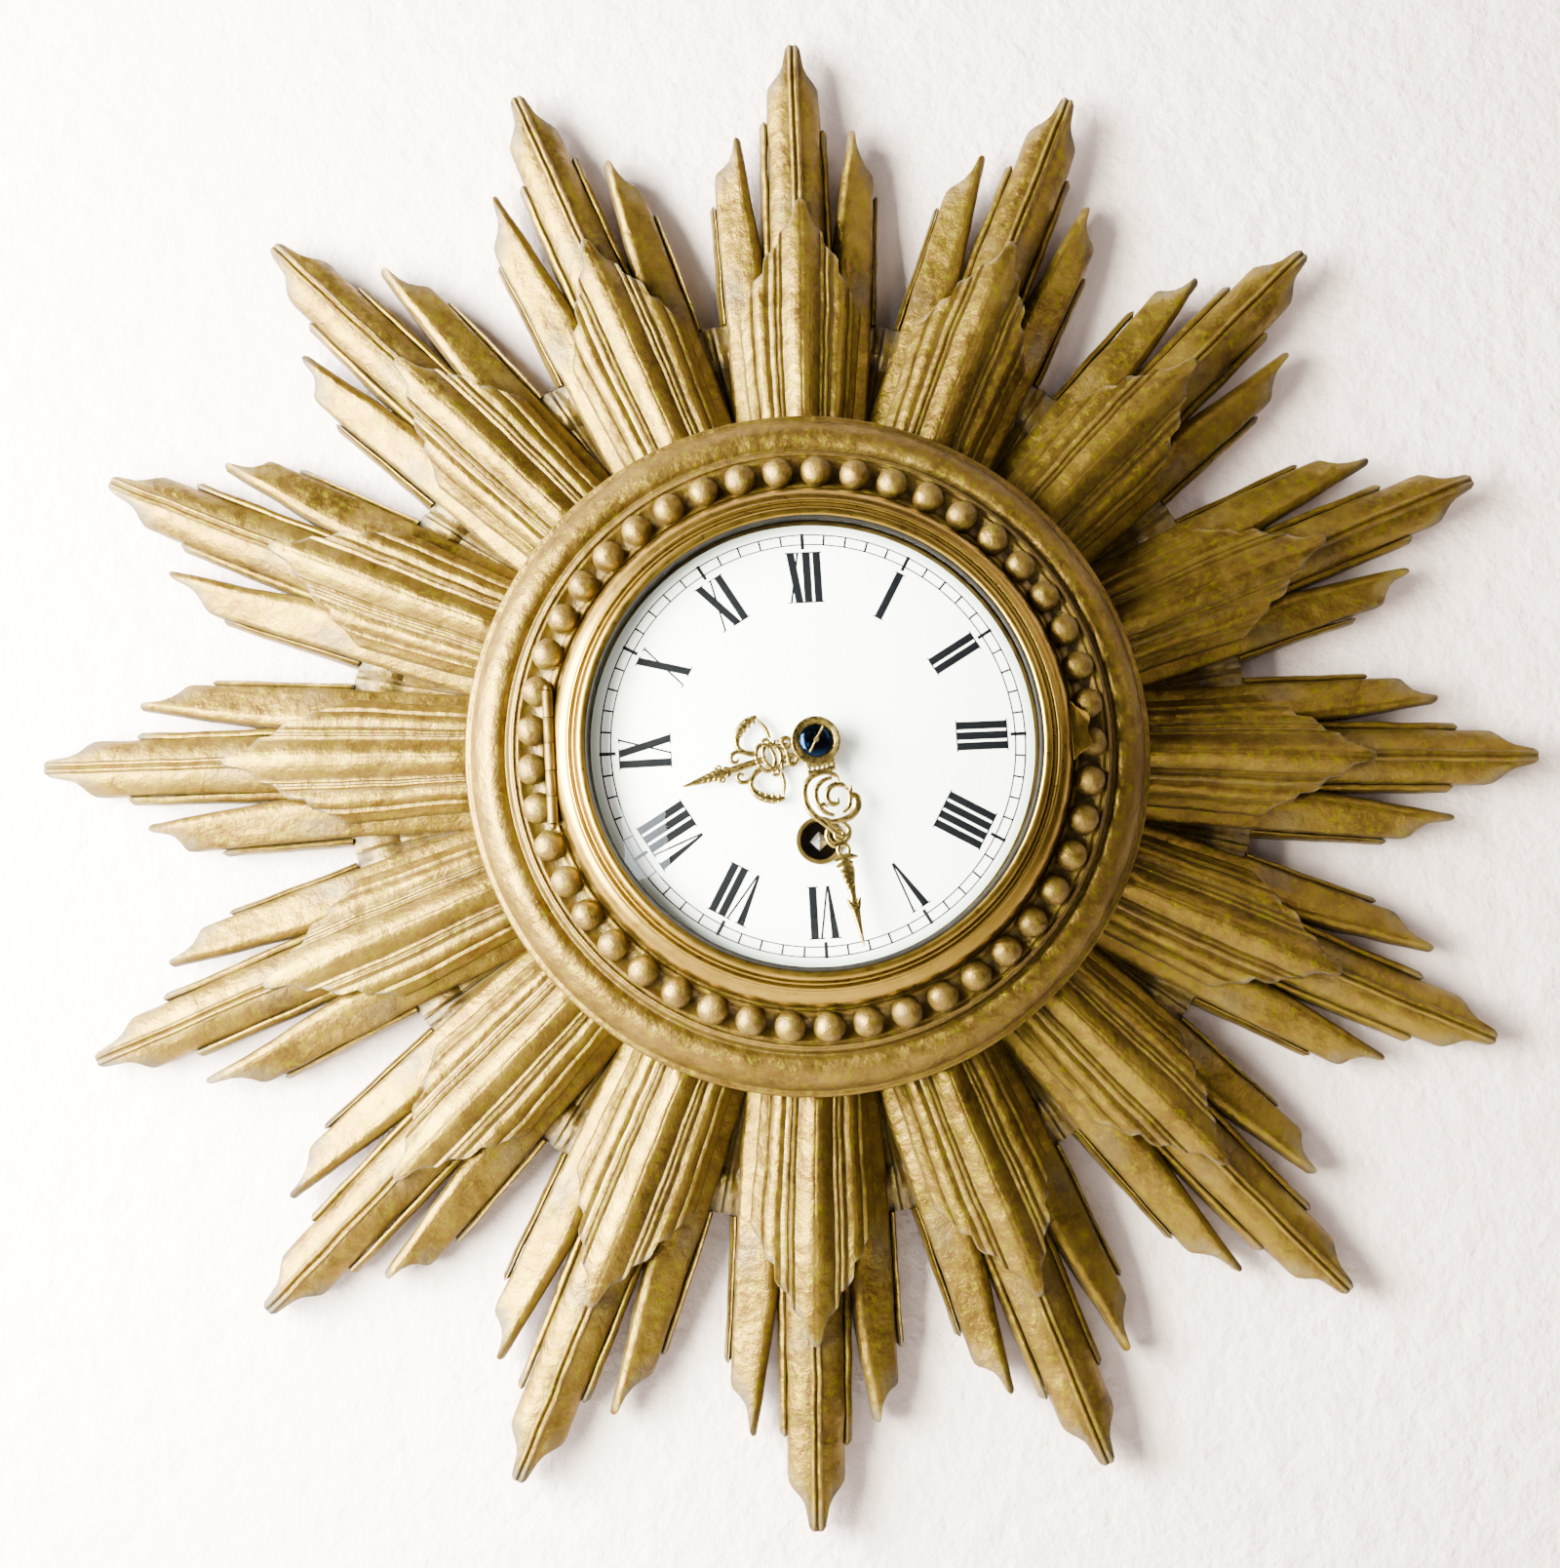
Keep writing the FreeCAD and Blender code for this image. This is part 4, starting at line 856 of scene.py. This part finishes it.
def dial_print():
    """Roman numerals with their feet to the centre, and the railway minute track."""
    sheet = Sheet()
    height = NUMERAL_HEAD - NUMERAL_FOOT
    for hour, text in enumerate(NUMERALS):
        strokes, serifs, width = numeral_strokes(text)
        turn = math.radians(-30 * hour)

        def put(x, level):
            px, py = x - width / 2, NUMERAL_FOOT + level * height
            return px * math.cos(turn) - py * math.sin(turn), px * math.sin(turn) + py * math.cos(turn)

        for foot, head in strokes:
            stroke(sheet, [put(foot[0], 0), put(foot[1], 0), put(head[1], 1), put(head[0], 1)])
        for x0, x1, level in serifs:
            low, high = (0, SERIF) if level == 0 else (1 - SERIF, 1)
            stroke(sheet, [put(x0, low), put(x1, low), put(x1, high), put(x0, high)], 0.06)
    for minute in range(60):
        strong = minute % 5 == 0
        wide, r0, r1 = (1.0, 56.9, 61.6) if strong else (0.55, *RAILS)
        a = math.radians(6 * minute)
        x0, y0 = polar(r0, 6 * minute)
        x1, y1 = polar(r1, 6 * minute)
        dx = wide / 2 * math.cos(a)
        dy = -wide / 2 * math.sin(a)
        corners = [(x0 - dx, y0 - dy), (x0 + dx, y0 + dy), (x1 + dx, y1 + dy), (x1 - dx, y1 - dy)]
        stroke(sheet, corners, 0.06)
    for radius in RAILS:
        for i in range(180):
            inner = [polar(radius - RAIL_HALF, 2 * i), polar(radius - RAIL_HALF, 2 * i + 2)]
            outer = [polar(radius + RAIL_HALF, 2 * i), polar(radius + RAIL_HALF, 2 * i + 2)]
            stroke(sheet, [inner[0], inner[1], outer[1], outer[0]])
    sheet.piece("dial_print", "case", ink, sharp=20)


bezel_knuckles()
glass_putty_and_gap_shade()
bezel_rim()
dial_print()


# ---------------------------------------------------------------- hands

WIRE_SCALE = 1.7
WIRE_SECTION = ((-1, -0.5), (-0.92, 0.1), (-0.45, 0.8), (0, 1), (0.45, 0.8), (0.92, 0.1), (1, -0.5))


def wire(sheet, path, widths, z, rise):
    """A raised strip of stamped metal along a curve; widths runs from its start to its end."""
    line = smooth_line(path, 5)
    count = len(line)
    sections = []
    for i, (x, y) in enumerate(line):
        x0, y0 = line[max(i - 1, 0)]
        x1, y1 = line[min(i + 1, count - 1)]
        length = math.hypot(x1 - x0, y1 - y0) or 1.0
        nx, ny = -(y1 - y0) / length, (x1 - x0) / length
        t = i / (count - 1) * (len(widths) - 1)
        k = min(int(t), len(widths) - 2)
        half = WIRE_SCALE * (widths[k] + (widths[k + 1] - widths[k]) * (t - k))
        sections.append([sheet.point(x + nx * half * s, y + ny * half * s, z + rise * h)
                         for s, h in WIRE_SECTION])
    n = len(sections[0])
    for a, b in zip(sections, sections[1:]):
        for j in range(n):
            k = (j + 1) % n
            sheet.faces.append((a[j], a[k], b[k], b[j]))
    sheet.faces.append(tuple(reversed(sections[0])))
    sheet.faces.append(tuple(sections[-1]))


def scroll(centre, start_r, end_r, start_angle, turn):
    """Points of a small spiral."""
    steps = max(6, int(abs(turn) / 30))
    points = []
    for i in range(steps + 1):
        t = i / steps
        a = math.radians(start_angle + turn * t)
        r = start_r + (end_r - start_r) * t
        points.append((centre[0] + r * math.sin(a), centre[1] + r * math.cos(a)))
    return points


def oval(centre, half_x, half_y):
    """Points of a closed oval."""
    return [(centre[0] + half_x * math.sin(math.radians(a)), centre[1] + half_y * math.cos(math.radians(a)))
            for a in range(0, 361, 30)]


def bead(sheet, x, y, z, size):
    """A tiny round stud."""
    rings = []
    for up in (0, 30, 60):
        u = math.radians(up)
        rings.append([sheet.point(x + size * math.cos(u) * math.cos(a * math.pi / 4),
                                  y + size * math.cos(u) * math.sin(a * math.pi / 4),
                                  z + size * math.sin(u)) for a in range(8)])
    for a, b in zip(rings, rings[1:]):
        for k in range(8):
            n = (k + 1) % 8
            sheet.faces.append((a[k], a[n], b[n], b[k]))
    sheet.faces.append(tuple(rings[-1]))
    sheet.faces.append(tuple(reversed(rings[0])))


def hub(sheet, inner, outer, z0, z1):
    """The flat boss of a hand."""
    lathe(sheet, [(inner, z0), (inner, z1), (outer - 0.4, z1), (outer, z1 - 0.25), (outer, z0)], 40)


def both(points):
    """A curve and its mirror image."""
    return [points, [(-x, y) for x, y in points]]


def leaf_pairs(sheet, places, z, rise, lift, x=0.0):
    """Pairs of small leaves on a stem; places are (distance from the hub, half width)."""
    for y, half in places:
        for side in (-1, 1):
            root = (x + side * 0.1, y)
            middle = (x + side * half * 0.6, y + lift * 0.35)
            tip = (x + side * half, y + lift)
            wire(sheet, [root, middle, tip], [0.5, 0.5, 0.08], z, rise)


def hour_hand():
    """Openwork hour hand: scrolls at the hub, a ring, two leafy side loops and a leafy stem."""
    sheet = Sheet()
    z, rise = 53.9, 0.42
    hub(sheet, 2.85, 6.4, 53.5, 54.2)
    for line in both([(2.4, 6.0), (3.9, 7.4), (3.6, 8.8), (2.3, 8.6), (2.4, 7.6)]):
        wire(sheet, line, [0.4, 0.45, 0.22], z, rise)
    for line in both([(2.2, 6.2), (1.0, 8.2), (1.5, 10.4)]):
        wire(sheet, line, [0.36, 0.36], z, rise)
    for line in both(scroll((3.4, 10.2), 0.45, 1.15, 90, 330)):
        wire(sheet, line, [0.22, 0.36], z, rise)
    wire(sheet, [(-3.2, 9.2), (0, 8.6), (3.2, 9.2)], [0.3, 0.36, 0.3], z, rise)
    wire(sheet, oval((0.3, 12.9), 3.6, 2.5), [0.42, 0.42], z, rise)
    wire(sheet, oval((0.3, 14.9), 3.9, 2.6), [0.42, 0.42], z, rise)
    for line in both(scroll((4.5, 13.6), 0.35, 1.1, 200, 400)):
        wire(sheet, line, [0.22, 0.4], z, rise)
    for line in both([(5.2, 12.0), (8.3, 12.2), (11.9, 13.7)]):
        wire(sheet, line, [0.36, 0.42, 0.2], z, rise)
    side_loop = [
        (12.4, 13.4), (11.9, 16.0), (10.6, 18.6), (8.3, 20.8), (5.6, 21.3), (3.6, 19.8), (2.6, 17.4)]
    for line in both(side_loop):
        wire(sheet, line, [0.3, 0.75, 0.8, 0.5, 0.42, 0.4], z, rise)
    for x, y, dx in ((12.0, 15.0, -1.5), (11.4, 16.7, -1.6), (10.4, 18.3, -1.4), (9.2, 19.6, -1.0)):
        for line in both([(x + 0.9, y + 0.5), (x, y), (x + dx, y - 0.5)]):
            wire(sheet, line, [0.12, 0.55, 0.12], z, rise)
    curl = [(1.6, 16.6), (2.6, 18.8), (4.4, 21.4), (4.2, 23.6), (2.6, 24.4), (1.7, 23.2), (2.6, 22.3)]
    for line in both(curl):
        wire(sheet, line, [0.36, 0.4, 0.4, 0.25], z, rise)
    for line in both([(0.55, 15.0), (0.5, 20.0), (0.45, 29.0)]):
        wire(sheet, line, [0.3, 0.36, 0.4], z, rise)
    for line in both(scroll((1.9, 28.6), 0.25, 0.95, 30, 360)):
        wire(sheet, line, [0.25, 0.4], z, rise)
    leaf_pairs(sheet, [(26.0, 1.5), (30.0, 1.5), (31.6, 1.25), (33.2, 0.9)], z, rise, 1.3)
    wire(sheet, [(0, 26), (0, 31), (0, 35), (0, 40)], [0.4, 0.8, 0.6, 0.12], z, 0.4)
    sheet.turned(HOUR_ANGLE)
    sheet.piece("hour_hand_openwork", "hour", hand_gilt, ["hour_hand"], sharp=50)


def minute_hand():
    """Openwork minute hand: beaded collar, uneven interlaced scrolls, small rings and a long leafy stem."""
    sheet = Sheet()
    z, rise = 56.15, 0.36
    hub(sheet, 1.85, 5.0, 55.8, 56.4)
    wire(sheet, [(-4.0, 6.1), (0, 6.5), (4.0, 6.1)], [0.4, 0.55, 0.4], z, rise)
    wire(sheet, [(-3.8, 8.4), (0, 8.8), (4.2, 8.4)], [0.4, 0.5, 0.4], z, rise)
    for i in range(6):
        bead(sheet, -3.5 + 1.4 * i, 7.45, z, 0.62)
    outer_curve = [
        (-3.7, 12.9), (-3.4, 10.9), (-0.6, 9.3), (3.5, 9.8), (6.1, 12.3), (6.7, 16.5), (5.5, 20.2),
        (3.2, 22.9), (1.2, 25.6), (-0.6, 27.6), (-2.4, 28.2), (-3.4, 26.7), (-2.6, 24.8)]
    wire(sheet, outer_curve, [0.2, 0.42, 0.45, 0.5, 0.55, 0.6, 0.6, 0.55, 0.5, 0.45, 0.4, 0.3], z, rise)
    inner_curve = [(-2.2, 11.2), (0.6, 11.5), (3.2, 13.7), (3.5, 17.2), (2.1, 20.2), (-0.4, 21.9)]
    wire(sheet, inner_curve, [0.3, 0.42, 0.5, 0.5, 0.42, 0.3], z, rise)
    curl = [
        (-5.6, 15.6), (-4.8, 14.0), (-2.6, 13.3), (-0.4, 14.3), (0.5, 16.5), (-0.3, 18.4), (-2.0, 18.6),
        (-2.4, 17.2)]
    wire(sheet, curl, [0.2, 0.5, 0.5, 0.5, 0.45, 0.3], z, rise)
    outer_leaf = [
        (-7.2, 14.4), (-6.2, 16.9), (-7.7, 18.2), (-7.2, 21.0), (-4.9, 23.1), (-1.8, 23.6), (1.4, 23.3)]
    wire(sheet, outer_leaf, [0.12, 0.6, 0.7, 0.75, 0.65, 0.5, 0.35], z, rise)
    wire(sheet, [(-5.5, 14.4), (-5.9, 17.6), (-4.9, 20.4), (-3.0, 21.6)], [0.15, 0.4, 0.4, 0.2], z, rise)
    wire(sheet, [(3.2, 18.6), (1.8, 18.1), (0.8, 19.2)], [0.4, 0.4, 0.15], z, rise)
    lower_ring = [
        (2.6, 25.4), (3.1, 27.8), (1.9, 30.0), (-0.8, 30.1), (-3.0, 28.3), (-3.5, 26.0), (-2.1, 24.2)]
    wire(sheet, lower_ring, [0.3, 0.45, 0.5, 0.5, 0.45, 0.3], z, rise)
    wire(sheet, oval((-0.4, 27.6), 1.2, 1.4), [0.36, 0.36], z, rise)
    wire(sheet, oval((-0.6, 32.0), 1.5, 1.7), [0.4, 0.4], z, rise)
    wire(sheet, [(2.6, 34.5), (0, 34.1), (-1.9, 34.1), (-4.3, 34.7)], [0.15, 0.7, 0.6, 0.12], z, rise)
    wire(sheet, [(2.5, 36.4), (0, 35.7), (-2.6, 36.0)], [0.15, 0.7, 0.15], z, rise)
    leaf_pairs(sheet, [(38.4, 1.9), (40.0, 1.6), (41.6, 1.3), (43.2, 1.0)], z, rise, -1.3, -0.3)
    wire(sheet, [(-0.2, 33.6), (-0.4, 38), (-0.3, 42), (-0.2, 46)], [0.9, 1.25, 0.8, 0.5], z, 0.35)
    wire(sheet, [(-0.1, 49.2), (0.8, 47.6), (1.7, 45.8)], [0.8, 0.55, 0.1], z, rise)
    wire(sheet, [(-0.1, 49.2), (-1.1, 47.8), (-2.2, 46.0)], [0.8, 0.55, 0.1], z, rise)
    wire(sheet, [(-0.2, 45.5), (-0.1, 48), (0, 52), (0, 60)], [0.5, 0.95, 0.6, 0.14], z, 0.35)
    sheet.turned(MINUTE_ANGLE)
    sheet.piece("minute_hand_openwork", "centre", hand_gilt, ["minute_hand"], sharp=50)


def collet():
    """Dished brass collet, and the blued dome that the pin crosses."""
    dish = Sheet()
    section = [
        (1.3, 56.6), (4.8, 56.6), (6.6, 57.2), (7.0, 57.7), (6.8, 58.0), (5.6, 57.7), (4.8, 57.5),
        (1.3, 57.6)]
    lathe(dish, smooth_line(section, 3), 64)
    dish.piece("collet_dish", "centre", hand_gilt, ["hand_collet"], sharp=60)
    cap = Sheet()
    outside = [(4.7, 57.6), (4.75, 57.9), (4.4, 58.4), (3.4, 59.0), (2.0, 59.4), (0.76, 59.55)]
    lathe(cap, smooth_line(outside, 4) + [(0.76, 58.4), (1.25, 58.4), (1.25, 57.6)], 64)
    cap.piece("collet_dome", "centre", dark_blue, sharp=60)


hour_hand()
minute_hand()
collet()


# ---------------------------------------------------------------- finishes of the CAD nodes

FINISH = {
    "bare_wood": bare_wood, "steel": plain_steel, "blued_spring": blued_steel, "bezel_brass": bezel_brass,
    "clock_brass": clock_brass, "enamel": enamel, "clear_glass": clear_glass, "gilt_hands": hand_gilt,
    "gilt_wood": gilt_ring}
# nodes that look different from the rest of their slot; the dial pan, grommet, front plate, ratchet wheel
# and click are darkened as painted shade of the deep winding hole they are seen through
SPECIAL = {
    "movement_can": can_brass, "back_cover": can_brass, "taper_pin": hand_gilt, "dial_pan": dull_brass_and_shade,
    "hinge_pin": dull_brass_and_shade, "winding_grommet": dull_brass_and_shade, "front_plate": dull_brass_and_shade,
    "ratchet_wheel": oiled_steel_and_shade, "click": oiled_steel_and_shade}

for part in frame["record"]["subparts"]:
    node = frame["nodes"][part["node"]]
    finish = SPECIAL.get(part["node"], FINISH[part["material_slot"]])
    if not node.material_slots:
        node.data.materials.append(finish)
    for place in node.material_slots:
        place.material = finish


# ---------------------------------------------------------------- wall, floor, camera and lights

def stage_plane(name, corners, material):
    mesh = bpy.data.meshes.new(name)
    mesh.from_pydata(corners, [], [(0, 1, 2, 3)])
    mesh.materials.append(material)
    obj = bpy.data.objects.new(name, mesh)
    bpy.context.scene.collection.objects.link(obj)


def plaster():
    """Off-white wall with a shallow roller texture, clear from behind so that the back can be seen."""
    material, tree, shader = make_material("plaster", (0.53, 0.44, 0.42), 0, 0.85)
    tone = ramp(tree, noise_map(tree, 5, 4, 0.6), [(0.3, (0.50, 0.415, 0.40)), (0.7, (0.56, 0.465, 0.445))])
    tree.links.new(tone, shader.inputs["Base Color"])
    bump(tree, shader, [(noise_map(tree, 90, 4, 0.55), 1.6), (noise_map(tree, 420, 3, 0.55), 0.35)])
    out = tree.nodes["Material Output"]
    both_ways = add(tree, "ShaderNodeMixShader")
    clear = add(tree, "ShaderNodeBsdfTransparent")
    facing = add(tree, "ShaderNodeNewGeometry")
    path = add(tree, "ShaderNodeLightPath")
    either = add(tree, "ShaderNodeMath", operation="MAXIMUM")
    tree.links.new(facing.outputs["Backfacing"], either.inputs[0])
    tree.links.new(path.outputs["Is Shadow Ray"], either.inputs[1])
    tree.links.new(either.outputs[0], both_ways.inputs[0])
    tree.links.new(shader.outputs[0], both_ways.inputs[1])
    tree.links.new(clear.outputs[0], both_ways.inputs[2])
    tree.links.new(both_ways.outputs[0], out.inputs["Surface"])
    return material


# the room in metres; the wall stands just behind the clock's flat back
ROOM = 2.5
FLOOR_Z = -1.0
WALL_Y = 0.0008
wall_corners = [(x, WALL_Y, z) for x, z in ((-ROOM, FLOOR_Z), (ROOM, FLOOR_Z), (ROOM, ROOM), (-ROOM, ROOM))]
floor_corners = [(x, y, FLOOR_Z) for x, y in ((-ROOM, -ROOM), (ROOM, -ROOM), (ROOM, ROOM), (-ROOM, ROOM))]
pale_floor = make_material("pale_floor", (0.78, 0.77, 0.75), 0, 0.7)[0]
stage_plane("wall", wall_corners, plaster())
stage_plane("floor", floor_corners, pale_floor)


def photo_camera():
    """The main viewpoint: a little left of and below the clock, looking slightly up."""
    yaw = math.radians(3.43)
    pitch = math.radians(6.40)
    roll = math.radians(-3.29)
    forward = Vector((math.sin(yaw) * math.cos(pitch), math.cos(yaw) * math.cos(pitch), math.sin(pitch)))
    right = Vector((math.cos(yaw), -math.sin(yaw), 0))
    up = right.cross(forward)
    across = math.cos(roll) * right + math.sin(roll) * up
    upright = -math.sin(roll) * right + math.cos(roll) * up
    data = bpy.data.cameras.new("photo_camera")
    data.sensor_width = 36
    data.lens = 53.7313
    data.clip_start = 0.01
    camera = bpy.data.objects.new("photo_camera", data)
    turn = Matrix((across, upright, -forward)).transposed()
    camera.matrix_world = Matrix.Translation((-0.0503, -0.7153, -0.0858)) @ turn.to_4x4()
    bpy.context.scene.collection.objects.link(camera)
    bpy.context.scene.camera = camera


def area_light(name, where, target, power, size, color=(1, 1, 1)):
    data = bpy.data.lights.new(name, "AREA")
    data.energy = power
    data.shape = "RECTANGLE"
    data.size, data.size_y = size
    data.color = color
    lamp = bpy.data.objects.new(name, data)
    lamp.location = where
    lamp.rotation_euler = (Vector(target) - Vector(where)).to_track_quat("-Z", "Y").to_euler()
    bpy.context.scene.collection.objects.link(lamp)


photo_camera()
area_light("window_left", (-0.92, -0.42, 0.26), (0, 0, 0), 220, (0.48, 0.72), (1.0, 0.98, 0.88))
area_light("window_near", (-0.42, -0.33, -0.04), (-0.12, 0, -0.04), 50, (0.25, 0.4), (1.0, 0.98, 0.80))
area_light("window_in_glass", (-0.94, -2.06, -0.29), (-0.05, 0, -0.03), 6, (0.28, 0.48), (0.80, 0.92, 1.0))
area_light("room_fill", (1.25, -0.87, 0.8), (0, 0, 0), 16, (0.8, 1.0), (1.0, 0.86, 0.76))
area_light("floor_bounce", (0.5, -0.9, -1.0), (0, 0, 0), 2, (1.0, 0.8), (1.0, 0.62, 0.36))
area_light("back_fill", (0.3, 1.8, 0.5), (0, 0, 0), 30, (1.4, 1.4))
world = bpy.data.worlds.new("soft_room")
world.use_nodes = True
background = world.node_tree.nodes["Background"]
background.inputs["Color"].default_value = (1.0, 0.91, 0.83, 1)
background.inputs["Strength"].default_value = 0.09
bpy.context.scene.world = world
